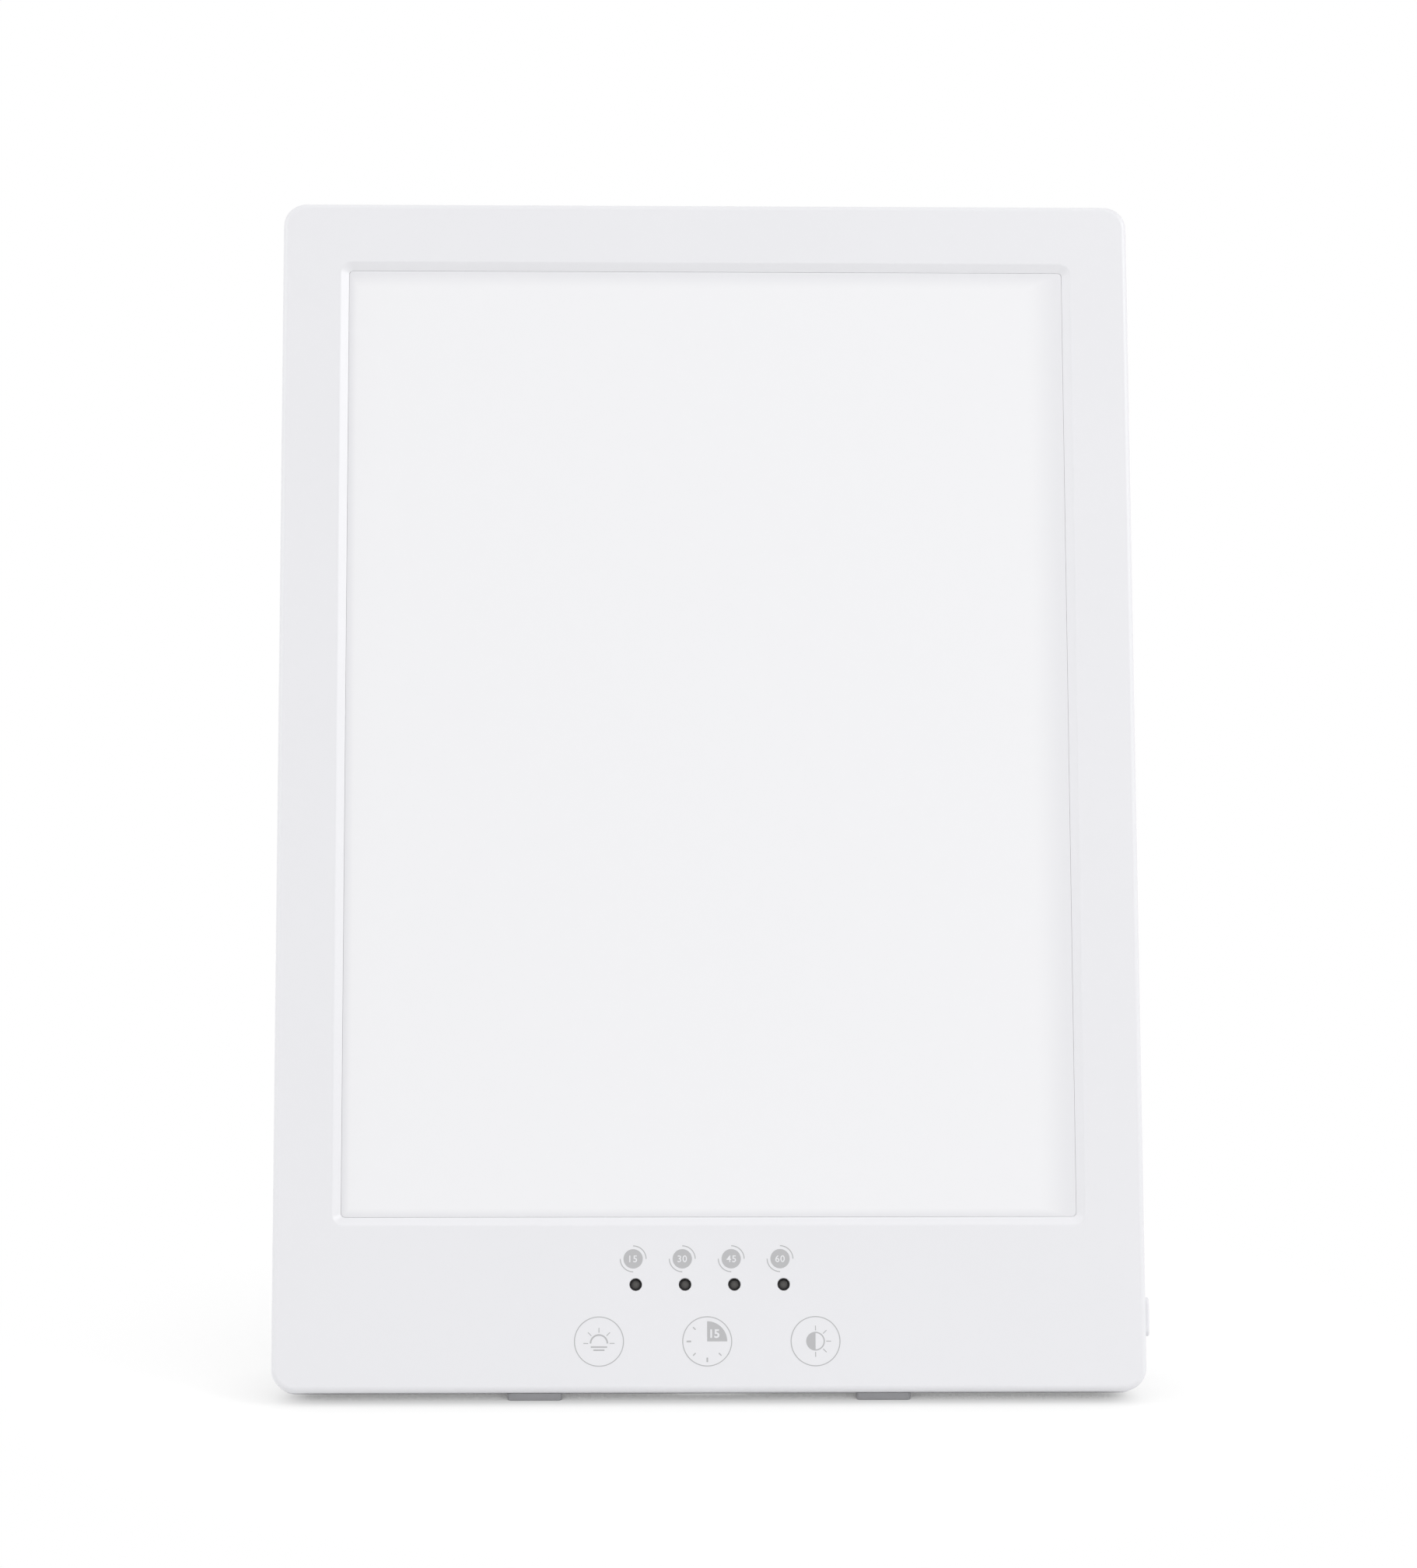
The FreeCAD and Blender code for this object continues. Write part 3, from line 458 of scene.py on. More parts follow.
finishBySlot = {
    "case_plastic": satinAbs,
    "button_plastic": satinAbs,
    "cover_plastic": texturedAbs,
    "stand_plastic": texturedAbs,
    "diffuser_acrylic": opalAcrylic,
    "smoked_pipe": smokedAcrylic,
    # closed-cell PE foam: dull, with 0.4 mm cells
    "gasket_foam": grainFinish("closedCellFoam", ("#E4E4E4", "#D6D6D6"), 3, 0.4, 0.08, (0.8, 0.95)),
    # prism film: ridges drawn at 0.6 mm, twelve times the real pitch, so that they show
    "optical_film": stripeFinish("prismFilm", ("#EEF2F5", "#E2E9EF"), 0.6, "X", 0.05, 0.16),
    "clear_acrylic": makeLightGuide(),
    # white PET reflector: bright, with a faint sheen
    "reflector_film": grainFinish("whitePetFilm", ("#F7F7F7", "#F2F2F3"), 40, 1.2, 0.004, (0.25, 0.35)),
    # rolled aluminium: fine lines drawn out along the sheet's length
    "plate_aluminium": grainFinish("rolledAluminium", ("#B9BCC0", "#A9ADB2"), 30, 1.2, 0.006,
                                   (0.3, 0.45), {"Metallic": 1}, (1, 1, 0.03)),
    "circuit_board": makeSolderMask(),
    # white solder mask on an aluminium-core strip: smooth and bright
    "led_strip_board": grainFinish("whiteSolderMask", ("#EFEFEA", "#E6E6DF"), 6, 0.8, 0.01, (0.3, 0.4)),
    "led_phosphor": makeLedPackage(),
    # acrylic foam tape: soft, dull, slightly uneven
    "thermal_tape": grainFinish("thermalTape", ("#C9CDD2", "#BCC1C7"), 5, 0.6, 0.03, (0.7, 0.85)),
    # gold-plated spring wire wound into a pad: coils 0.9 mm apart
    "sensor_spring": stripeFinish("platedSpringWire", ("#D8B26A", "#8F6E35"), 0.9, "Y", 0.3, 0.24,
                                  {"Metallic": 1}),
    # transfer-moulded epoxy: black, with a fine matt skin
    "chip_epoxy": grainFinish("mouldedEpoxy", ("#232426", "#2B2C2F"), 4, 0.25, 0.015, (0.55, 0.7)),
    # sintered ferrite: dark grey, finely pitted
    "ferrite": grainFinish("sinteredFerrite", ("#3C3D40", "#2C2D30"), 1.5, 0.3, 0.04, (0.5, 0.75)),
    # drawn aluminium can: satin, with lines along its height
    "capacitor_can": grainFinish("drawnAluminiumCan", ("#C6C8CB", "#B4B7BB"), 6, 0.5, 0.006,
                                 (0.25, 0.4), {"Metallic": 1}, (1, 0.08, 1)),
    # natural nylon: creamy and slightly waxy
    "connector_nylon": grainFinish("naturalNylon", ("#EDE8D8", "#E4DECB"), 5, 0.4, 0.01, (0.35, 0.5)),
    "washer_nylon": grainFinish("naturalNylonWasher", ("#E8E6DF", "#DFDCD2"), 3, 0.3, 0.01, (0.35, 0.5)),
    # glass-filled PBT: black, with a faint silky grain
    "jack_plastic": grainFinish("mouldedPbt", ("#1C1C1E", "#242427"), 5, 0.3, 0.012, (0.4, 0.55)),
    "switch_plastic": grainFinish("mouldedPbtSwitch", ("#2B2C2E", "#343538"), 3, 0.25, 0.012, (0.4, 0.55)),
    # nickel plate: bright, with the faintest waviness
    "contact_metal": grainFinish("nickelPlate", ("#C9CACC", "#B9BBBE"), 2, 0.8, 0.004, (0.12, 0.22),
                                 {"Metallic": 1}),
    # moulded silicone rubber: grey, dull, with a fine bloom
    "foot_rubber": grainFinish("mouldedRubber", ("#CDCDCF", "#C6C6C9"), 6, 0.35, 0.03, (0.75, 0.9)),
    # zinc-plated steel: cool grey with a soft cloudy shine
    "steel": grainFinish("zincPlatedSteel", ("#A9ABAE", "#C0C2C5"), 1.6, 0.4, 0.006, (0.25, 0.42),
                         {"Metallic": 1}),
    # PVC wire jacket: red, smooth, slightly glossy
    "wire_jacket": grainFinish("pvcJacket", ("#B23A2E", "#A33428"), 6, 0.5, 0.006, (0.3, 0.4)),
}
for subpart in frame["record"]["subparts"]:
    for cadSlot in nodes[subpart["node"]].material_slots:
        cadSlot.material = finishBySlot[subpart["material_slot"]]
print("materials made,", len(bpy.data.materials))


# front bezel
bezel = {
    "face": 1.6,
    "wall": 2,
    "edgeR": 1.5,            # rounding of the front edge
    "mouthHalfW": 97.2,      # where the sloped border starts
    "mouthLow": 42.6,
    "mouthHigh": 299,
    "mouthR": 3,
    "mouthSoft": 0.3,
    "windowSoft": 0.05,
    "slopeDepth": 1.2,
    "holeR": 1.6,
    "holeX": (-19.05, -6.35, 6.35, 19.05),
    "holeZ": 27.4,
    "holeSoft": 0.3,
}
button = {
    "depth": 5.8,            # middle of the button, back from the front face
    "height": 19.25,
    "halfW": 1.9,
    "halfL": 5.05,
    "clear": 0.15,
    "proud": 1.3,
    "rimOut": 110.3,
    "rimIn": 108.8,
    "rim": 1,
    "edgeR": 0.5,
    "dish": ((0.45, 0.072), (0.45, 0.048)),     # its steps, inward and down
    "stemR": 1.7,
    "stemL": 3.8,
    "stemSunk": 0.5,
    "stemSoft": 0.2,
}


def makePill(name, grow, x0, x1):
    # a bar along x with the button's upright round-ended section
    halfW, halfL = button["halfW"] + grow, button["halfL"] + grow
    piece = newSheet(name, 2 * halfL, 2 * halfW, (x0, button["depth"], button["height"]), (0, 90, 0))
    roundSheet(piece, halfW, 9, roundEnds=True)
    pushChosen(x=x1 - x0)
    closeMesh()
    return piece


def makeBezel():
    seam = case["seamDepth"]
    piece = newSheet("frontBezel", case["width"], case["height"], (0, seam, case["height"] / 2))
    roundSheet(piece, case["cornerR"], 12)
    pushChosen(y=-seam)
    chooseAt("EDGE", y=0)
    softenChosen(bezel["edgeR"], 6)
    chooseAt("EDGE", y=seam)
    softenChosen(case["seamChamfer"], 1)
    # sloped border of the window
    chooseAt("FACE", y=0)
    insetTo(caseHalf - bezel["edgeR"], case["cornerR"] - bezel["edgeR"], bezel["mouthHalfW"],
            bezel["mouthR"], bezel["mouthLow"], bezel["mouthHigh"])
    insetTo(bezel["mouthHalfW"], bezel["mouthR"], window["halfW"], window["cornerR"],
            window["low"], window["high"], bezel["slopeDepth"])
    # hollow behind, and the way through
    chooseAt("FACE", y=seam)
    innerHalf = caseHalf - bezel["wall"]
    innerR = case["cornerR"] - bezel["wall"]
    rimHalf = caseHalf - case["seamChamfer"]
    insetTo(rimHalf, case["cornerR"] - case["seamChamfer"], innerHalf, innerR,
            bezel["wall"], case["height"] - bezel["wall"])
    pushChosen(y=bezel["face"] - seam)
    insetTo(innerHalf, innerR, window["halfW"], window["cornerR"],
            window["low"], window["high"])

    def inWindow(x, z):
        return within(x, z, window["halfW"], window["low"], window["high"])

    depths = (bezel["slopeDepth"], bezel["face"])
    choose("FACE", lambda x, y, z: inWindow(x, z) and any(near(y, depth) for depth in depths))
    bpy.ops.mesh.bridge_edge_loops()
    choose("EDGE", lambda x, y, z: near(y, bezel["slopeDepth"]) and inWindow(x, z))
    softenChosen(bezel["windowSoft"], 2)
    mouth = [bezel[key] for key in ("mouthHalfW", "mouthLow", "mouthHigh")]
    choose("EDGE", lambda x, y, z: near(y, 0) and within(x, z, *mouth))
    softenChosen(bezel["mouthSoft"], 3)
    closeMesh()
    # indicator holes and the button's slot
    holes = [(x, bezel["holeZ"], bezel["holeR"]) for x in bezel["holeX"]]
    drill = rodAlongY("drill", 0, bezel["holeZ"], bezel["holeR"], -4 * over, 4 * over, 48)
    combine(piece, repeated(drill, [(x, 0, 0) for x in bezel["holeX"]]))
    combine(piece, makePill("slot", button["clear"], button["rimOut"] - over, caseHalf + button["proud"]))
    openMesh(piece)
    choose("EDGE", lambda x, y, z: near(y, 0) and onRim(x, z, holes))
    softenChosen(bezel["holeSoft"], 2)
    closeMesh()
    smoothFinish(piece)
    settle(piece, satinAbs, "case", stoodFor=("front_bezel",))


makeBezel()
print("front bezel made")


# power button: cap, inner rim and the stem that pushes the switch
def makeButton():
    face = caseHalf + button["proud"]
    piece = makePill("powerButton", button["rim"], button["rimIn"], button["rimOut"])
    openMesh(piece)
    chooseAt("FACE", x=button["rimOut"])
    bpy.ops.mesh.inset(thickness=button["rim"] * mm)
    pushChosen(x=face - button["rimOut"])
    chooseAt("EDGE", x=face)
    softenChosen(button["edgeR"], 4)
    # shallow dish for the fingertip
    chooseAt("FACE", x=face)
    for inward, down in button["dish"]:
        bpy.ops.mesh.inset(thickness=inward * mm)
        moveChosen(x=-down)
    closeMesh()
    stemEnd = button["rimIn"] - button["stemL"]
    stemL = button["stemL"] + button["stemSunk"]
    stem = newRod("stem", button["stemR"], stemL, (stemEnd + stemL / 2, button["depth"], button["height"]),
                  (0, 90, 0), 32)
    openMesh(stem)
    chooseAt("EDGE", x=stemEnd)
    softenChosen(button["stemSoft"], 2)
    closeMesh()
    combine(piece, stem, "UNION")
    smoothFinish(piece)
    settle(piece, satinAbs, "button", stoodFor=("power_button",))


makeButton()
print("power button made")


# light pipe: one moulding, with a domed end behind each indicator hole
def makeLightPipe():
    r, front, dome = lightPipe["r"], lightPipe["front"], lightPipe["dome"]
    reach = bezel["holeX"][-1] + lightPipe["collarR"]
    barT = lightPipe["barBack"] - lightPipe["barFront"]
    piece = newBlock("indicatorLightPipe", (2 * reach, barT, lightPipe["barH"]),
                     (0, lightPipe["barFront"] + barT / 2, bezel["holeZ"]))
    softEdges(piece, lightPipe["barSoft"])
    rod = rodAlongY("rod", 0, bezel["holeZ"], r, front + dome, lightPipe["back"], 48)
    ball = (r ** 2 + dome ** 2) / (2 * dome)      # radius of the sphere that the dome is cut from
    openMesh(rod)
    chooseAt("FACE", y=front + dome)
    wide, y = r, front + dome
    for share in lightPipe["domeSteps"]:
        nextY = front + ball - math.sqrt(ball ** 2 - (share * r) ** 2)
        bpy.ops.mesh.inset(thickness=(wide - share * r) * mm)
        moveChosen(y=nextY - y)
        wide, y = share * r, nextY
    closeMesh()
    places = [(x, 0, 0) for x in bezel["holeX"]]
    combine(piece, repeated(rod, places), "UNION")
    collar = rodAlongY("collar", 0, bezel["holeZ"], lightPipe["collarR"], lightPipe["collarFront"],
                       lightPipe["barFront"] + lightPipe["lap"], 47)
    combine(piece, repeated(collar, places), "UNION")
    smoothFinish(piece)
    settle(piece, smokedAcrylic, "case", stoodFor=("indicator_light_pipe",))


makeLightPipe()
print("light pipe made")


# rear cover
cover = {
    "depth": 20,
    "slopeInset": 5,
    "wall": 1.6,
    "backEdgeR": 1,
    "pocketHalfW": 41,
    "pocketLow": 6.56,
    "pocketHigh": 202.59,
    "pocketR": 0.8,
    "pocketFloor": 13,
    "pocketSoft": 0.35,
    "scoopR": 14,
    "scoopZ": 13.56,
    "scoopFloor": 14.5,
    "ventCount": 13,          # on each side
    "ventFirst": 20,
    "ventPitch": 5.4,
    "ventW": 2.2,
    "ventH": 22,
    "ventZ": 262,
    "ventSoft": 0.25,
    "screws": [(-103, 305.2), (-34.333, 305.2), (34.333, 305.2), (103, 305.2), (-103, 9.8), (103, 9.8)],
    "bossR": 4.6,
    "bossGap": 0.8,
    "boreR": 3.2,
    "boreSeat": 13,
    "shankR": 1.6,
    "holeSoft": 0.25,
    "jackX": -70,
    "jackZ": 22.5,
    "jackR": 4.2,
}


def makeSlotCutter():
    # an upright slot with round ends and a flared mouth, through the rear wall
    above = 0.05              # the flare starts a little above the wall
    flare = cover["ventSoft"] + above
    width = cover["ventW"] + 2 * flare
    piece = newSheet("vent", width, cover["ventH"] + 2 * flare, (0, cover["depth"] + over, cover["ventZ"]))
    roundSheet(piece, width / 2, 5, roundEnds=True)
    pushChosen(y=above - over)
    bpy.ops.mesh.inset(thickness=flare * mm)
    moveChosen(y=-flare)
    pushChosen(y=-3 * over)
    closeMesh()
    return piece


def makeCover():
    seam = case["seamDepth"]
    back = cover["depth"]
    piece = newSheet("rearCover", case["width"], case["height"], (0, seam, case["height"] / 2))
    roundSheet(piece, case["cornerR"], 12)
    pushChosen(y=back - seam)
    inset = cover["slopeInset"]
    fitChosen(caseHalf - inset, inset, case["height"] - inset)
    chooseAt("EDGE", y=back)
    softenChosen(cover["backEdgeR"], 3)
    chooseAt("EDGE", y=seam)
    softenChosen(case["seamChamfer"], 1)
    # pocket that the leg folds into
    chooseAt("FACE", y=back)
    backHalf = chosenBox()[0][1]
    insetTo(backHalf, case["cornerR"] - cover["backEdgeR"], cover["pocketHalfW"], cover["pocketR"],
            cover["pocketLow"], cover["pocketHigh"])
    pushChosen(y=cover["pocketFloor"] - back)
    pocket = [cover[key] for key in ("pocketHalfW", "pocketLow", "pocketHigh")]
    choose("EDGE", lambda x, y, z: near(y, back) and within(x, z, *pocket))
    softenChosen(cover["pocketSoft"], 2)
    closeMesh()
    scoop = (cover["scoopZ"], cover["scoopR"], cover["scoopFloor"])
    combine(piece, rodAlongY("scoop", 0, *scoop, back + 3 * over, 72))
    # open the front and give the skin its wall
    openMesh(piece)
    chooseAt("FACE", y=seam)
    bpy.ops.mesh.delete(type="FACE")
    bpy.ops.object.mode_set(mode="OBJECT")
    applyModifier(piece, "SOLIDIFY", thickness=cover["wall"] * mm, offset=-1, use_even_offset=True)
    # screw bosses, counterbores, vents and the socket's hole
    seat = cover["boreSeat"]
    spots = [(x, 0, z) for x, z in cover["screws"]]
    boss = rodAlongY("boss", 0, 0, cover["bossR"], seam, back - cover["bossGap"])
    combine(piece, repeated(boss, spots), "UNION")
    combine(piece, repeated(rodAlongY("bore", 0, 0, cover["boreR"], seat, back + over, 43), spots))
    combine(piece, repeated(rodAlongY("shank", 0, 0, cover["shankR"], seam - over, seat + over, 25), spots))
    row = [cover["ventFirst"] + i * cover["ventPitch"] for i in range(cover["ventCount"])]
    combine(piece, repeated(makeSlotCutter(), [(side * x, 0, 0) for side in (-1, 1) for x in row]))
    jack = (cover["jackX"], cover["jackZ"], cover["jackR"])
    combine(piece, rodAlongY("socket", *jack, back - 3 * over, back + over, 56))
    openMesh(piece)
    holes = [(x, z, cover["boreR"]) for x, z in cover["screws"]] + [jack]
    choose("EDGE", lambda x, y, z: near(y, back) and onRim(x, z, holes), creaseOnly=True)
    softenChosen(cover["holeSoft"], 2)
    closeMesh()
    smoothFinish(piece)
    settle(piece, texturedAbs, "case", stoodFor=("rear_cover",))


makeCover()
print("rear cover made")


# kickstand leg and its foot pad, modelled folded: the hinge axis is x, the foot is at -z
leg = {
    "open": 28,
    "halfW": 40,
    "inner": 2.9,
    "outer": 3.3,
    "skin": 2.4,
    "rail": 2.4,
    "footRail": 5,
    "footCornerR": 5,
    "ribLow": 0.9,
    "ribT": 1.6,
    "ribX": 13,
    "crossRibs": 3,
    "heel": 5,
    "heelFlank": (-2.511, -0.739),     # the flank's two corners, at a third of the heel and at its top
    "edgeSoft": 0.35,
    "pinR": 1.3,
    "pinInner": 31,
}
pad = {
    "halfW": 30,
    "halfT": 1.7,
    "proud": 1.2,
    "sunk": 0.8,
    "edgeSoft": 0.1,
    "grooves": 7,
    "grooveW": 1,
    "grooveDepth": 0.25,
}
legTurn = math.radians(leg["open"] - case["lean"])
legPlace = Matrix.Translation(hinge) @ Matrix.Rotation(legTurn, 4, "X")


def levelZ(y, proud):
    # folded height, at depth y, of a plane that is level when the leg is open
    return -(hinge.z / mm - proud + y * math.sin(legTurn)) / math.cos(legTurn)


def levelBar(name, halfW, y0, y1, top, bottom):
    # a bar whose two ends lie level when the leg is open
    middle = (y0 + y1) / 2
    z0, z1 = levelZ(middle, bottom), levelZ(middle, top)
    piece = newBlock(name, (2 * halfW, y1 - y0, z1 - z0), (0, middle, (z0 + z1) / 2))
    openMesh(piece)
    for y in (y0, y1):
        chooseAt("VERT", y=y)
        moveChosen(z=levelZ(y, 0) - levelZ(middle, 0))
    closeMesh()
    return piece


def padBar(name, halfW, longer=0, top=pad["proud"] + pad["sunk"], bottom=0):
    return levelBar(name, halfW, -pad["halfT"] - longer, pad["halfT"] + longer, top, bottom)


def makeLeg():
    half, inner, outer = leg["halfW"], leg["inner"], leg["outer"]
    middle = (outer - inner) / 2
    foot = levelZ(middle, pad["proud"])
    piece = newBlock("kickstandLeg", (2 * half, inner + outer, -foot), (0, middle, foot / 2))
    openMesh(piece)
    for y in (-inner, outer):
        choose("VERT", lambda vx, vy, vz: near(vy, y) and vz < foot / 2)
        moveChosen(z=levelZ(y, pad["proud"]) - foot)
    choose("EDGE", lambda x, y, z: near(abs(x), half) and z < foot * 0.9, byMiddle=True)
    softenChosen(leg["footCornerR"], 8)
    # heel above the hinge
    chooseAt("FACE", z=0)
    for rise, flank in zip((leg["heel"] / 3, leg["heel"] * 2 / 3), leg["heelFlank"]):
        pushChosen(z=rise)
        top = chosenBox()[2][1]
        lowest = chosenBox()[1][0]
        choose("VERT", lambda x, y, z: near(z, top) and near(y, lowest))
        moveChosen(y=flank - lowest)
        chooseAt("FACE", z=top)
    # ribbed hollow on the inner side
    low, high = levelZ(0, pad["proud"]) + leg["footRail"], -inner - leg["rail"]
    choose("FACE", lambda x, y, z: near(y, -inner) and z < 0.1)
    bpy.ops.mesh.inset(thickness=leg["rail"] * mm)
    fitChosen(half - leg["rail"], low, high)
    pushChosen(y=leg["ribLow"])
    ribTop = leg["ribLow"] - inner
    halfT = leg["ribT"] / 2
    crossAt = [low + (high - low) * (i + 1) / (leg["crossRibs"] + 1) for i in range(leg["crossRibs"])]
    cuts = [((x + s * halfT, 0, 0), (1, 0, 0)) for x in (-leg["ribX"], leg["ribX"]) for s in (-1, 1)]
    cuts += [((0, 0, z + s * halfT), (0, 0, 1)) for z in crossAt for s in (-1, 1)]
    for point, normal in cuts:
        chooseAt("FACE", y=ribTop)
        bpy.ops.mesh.bisect(plane_co=Vector(point) * mm, plane_no=normal)

    def isCell(x, y, z):
        onRib = abs(abs(x) - leg["ribX"]) < halfT or any(abs(z - c) < halfT for c in crossAt)
        return near(y, ribTop) and not onRib

    choose("FACE", isCell, byMiddle=True)
    pushChosen(y=outer - leg["skin"] - ribTop)
    closeMesh()
    for side in (-1, 1):
        length = half - leg["pinInner"] + over
        pinX = side * (leg["pinInner"] + length / 2)
        combine(piece, newRod("pin", leg["pinR"], length, (pinX, 0, 0), (0, 90, 0), 32))
    combine(piece, padBar("seat", pad["halfW"]))
    softEdges(piece, leg["edgeSoft"])
    smoothFinish(piece)
    settle(piece, texturedAbs, "kickstand", legPlace, ("kickstand_leg",))


def makePad():
    piece = padBar("kickstandFootPad", pad["halfW"])
    step = 2 * pad["halfW"] / (pad["grooves"] + 1)
    groove = padBar("groove", pad["grooveW"] / 2, over, pad["grooveDepth"], -over)
    combine(piece, repeated(groove, [(-pad["halfW"] + step * (i + 1), 0, 0) for i in range(pad["grooves"])]))
    softEdges(piece, pad["edgeSoft"])
    smoothFinish(piece)
    settle(piece, finishBySlot["foot_rubber"], "kickstand", legPlace, ("kickstand_foot_pad",))


makeLeg()
makePad()
print("kickstand made")


# front feet: rubber wedges under the case, level underneath
foot = {
    "x": 45,
    "width": 14,
    "y0": 6.8,
    "y1": 10.4,
    "cornerR": 1,
    "edgeR": 0.3,
    "pegR": 1.2,
    "pegL": 2,
    "pegSunk": 0.6,
}


def makeFeet():
    lean = math.radians(case["lean"])
    drop = (casePlace @ Vector((0, 0, 0))).z / mm

    def soleZ(y):
        return (y * math.sin(lean) - drop) / math.cos(lean)

    middle = (foot["y0"] + foot["y1"]) / 2
    height = -soleZ(middle)
    piece = newBlock("foot", (foot["width"], foot["y1"] - foot["y0"], height), (0, middle, -height / 2))
    openMesh(piece)
    for y in (foot["y0"], foot["y1"]):
        choose("VERT", lambda vx, vy, vz: near(vy, y) and vz < -0.1)
        moveChosen(z=soleZ(y) + height)
    choose("EDGE", lambda x, y, z: near(abs(x), foot["width"] / 2) and y < foot["y0"] + 0.1, byMiddle=True)
    softenChosen(foot["cornerR"], 4)
    closeMesh()
    softEdges(piece, foot["edgeR"])
    peg = newRod("peg", foot["pegR"], foot["pegL"] + foot["pegSunk"],
                 (0, middle, (foot["pegL"] - foot["pegSunk"]) / 2), (0, 0, 0), 24)
    combine(piece, peg, "UNION")
    smoothFinish(piece)
    pair = twins(piece, [(-foot["x"], 0, 0), (foot["x"], 0, 0)], ("frontFootLeft", "frontFootRight"))
    for twin, node in zip(pair, ("front_foot_left", "front_foot_right")):
        settle(twin, finishBySlot["foot_rubber"], "case", stoodFor=(node,))


makeFeet()
print("front feet made")


# case screws: pan heads with a tapered cross recess, sunk in the cover's counterbores
screw = {
    "seat": 13,
    "headR": 2.7,
    "headH": 1.8,
    "edgeR": 0.6,
    "shankR": 1.4,
    "shankL": 7,
    "tip": 0.5,               # share of the width that is left at the tip
    "tipPast": 0.001,         # how far the tip runs past the shank's length
    "recessW": 0.7,
    "recessL": 3,
    "recessDepth": 0.95,
    "recessTaper": 0.55,
}


def narrowChosen(share, y):
    bpy.ops.transform.resize(value=(share, 1, share), center_override=(0, y * mm, 0))


def makeScrews():
    top = screw["seat"] + screw["headH"]
    piece = rodAlongY("screw", 0, 0, screw["headR"], screw["seat"], top, 48)
    openMesh(piece)
    chooseAt("EDGE", y=top)
    softenChosen(screw["edgeR"], 4)
    chooseAt("FACE", y=screw["seat"])
    bpy.ops.mesh.inset(thickness=(screw["headR"] - screw["shankR"]) * mm)
    pushChosen(y=-screw["shankL"])
    narrowChosen(screw["tip"], screw["seat"] - screw["shankL"])
    moveChosen(y=-screw["tipPast"])
    closeMesh()
    for turn in (0, 90):
        blade = newBlock("blade", (screw["recessL"], 2 * screw["recessDepth"], screw["recessW"]), (0, top, 0),
                         (0, turn, 0))
        openMesh(blade)
        choose("FACE", lambda x, y, z: y < top)
        narrowChosen(screw["recessTaper"], top - screw["recessDepth"])
        closeMesh()
        combine(piece, blade)
    smoothFinish(piece)
    names = ["caseScrew" + str(i + 1) for i in range(len(cover["screws"]))]
    for twin in twins(piece, [(x, 0, z) for x, z in cover["screws"]], names):
        settle(twin, finishBySlot["steel"], "case", stoodFor=("case_screws",))


makeScrews()
print("case screws made")


# printed marks: thin raised ink on the front face
ink = {
    "front": -0.03,
    "back": 0.01,
    "discR": 2.48,
    "discZ": 33.98,
    "discX": (-19.7, -7.05, 5.56, 18.14),     # a little left of their holes, as a print can be
    "arcR": 3.45,
    "arcLine": 0.25,
    "digits": {"height": 1.78, "weight": 0.015, "spacing": 1.12},
    "ringR": 6.41,
    "ringLine": 0.24,
    "ringZ": 12.8,
    "ringX": {"sunrise": -28.5, "timer": -0.7, "brightness": 27.15},
    "sunR": 2.36,
    "sunLine": 0.4,
    "sunDrop": 0.48,
    "rayFrom": 2.75,
    "rayTo": 4,
    "rayLine": 0.22,
    "barsZ": ((-0.92, 4.2), (-1.72, 2.85)),
    "barLine": 0.38,
    "sectorR": 5.15,
    "timerDigits": {"height": 2.25, "weight": 0.03, "spacing": 0.98},
    "timerDigitAt": 1.97,     # to the right of the ring's middle, and above it
    "tick": (4.13, 5.3, 0.42),
    "smallTick": (4.22, 5.16, 0.3),
    "bulbR": 2.4,
    "bulbLine": 0.32,
}


def inkDisc(x, z, r, line=0, cuts=()):
    # a disc or, with a line width, a ring; each cut removes what lies along its direction
    piece = newPiece("ink", bpy.ops.mesh.primitive_circle_add, (2 * r, 2 * r, 1), (x, ink["back"], z),
                     (90, 0, 0), vertices=96, radius=0.5, fill_type="NGON")
    openMesh(piece)
    choose("FACE")
    if line:
        bpy.ops.mesh.inset(thickness=line * mm)
        bpy.ops.mesh.delete(type="FACE")
    for way in cuts:
        bpy.ops.mesh.select_all(action="SELECT")
        bpy.ops.mesh.bisect(plane_co=Vector((x, 0, z)) * mm, plane_no=way, clear_outer=True)
    choose("FACE")
    pushChosen(y=ink["front"] - ink["back"])
    closeMesh()
    return piece


def inkBar(x, z, length, line, turn=0):
    piece = newSheet("ink", length, line, (x, ink["back"], z), (90, turn, 0))
    roundSheet(piece, line * 0.25, 2)
    pushChosen(y=ink["front"] - ink["back"])
    closeMesh()
    return piece


def inkRays(x, z, start, end, line, turns):
    # rays from a middle; turn 0 points right and 90 up
    reach = (start + end) / 2
    return [inkBar(x + reach * math.cos(math.radians(t)), z + reach * math.sin(math.radians(t)),
                   end - start, line, -t) for t in turns]


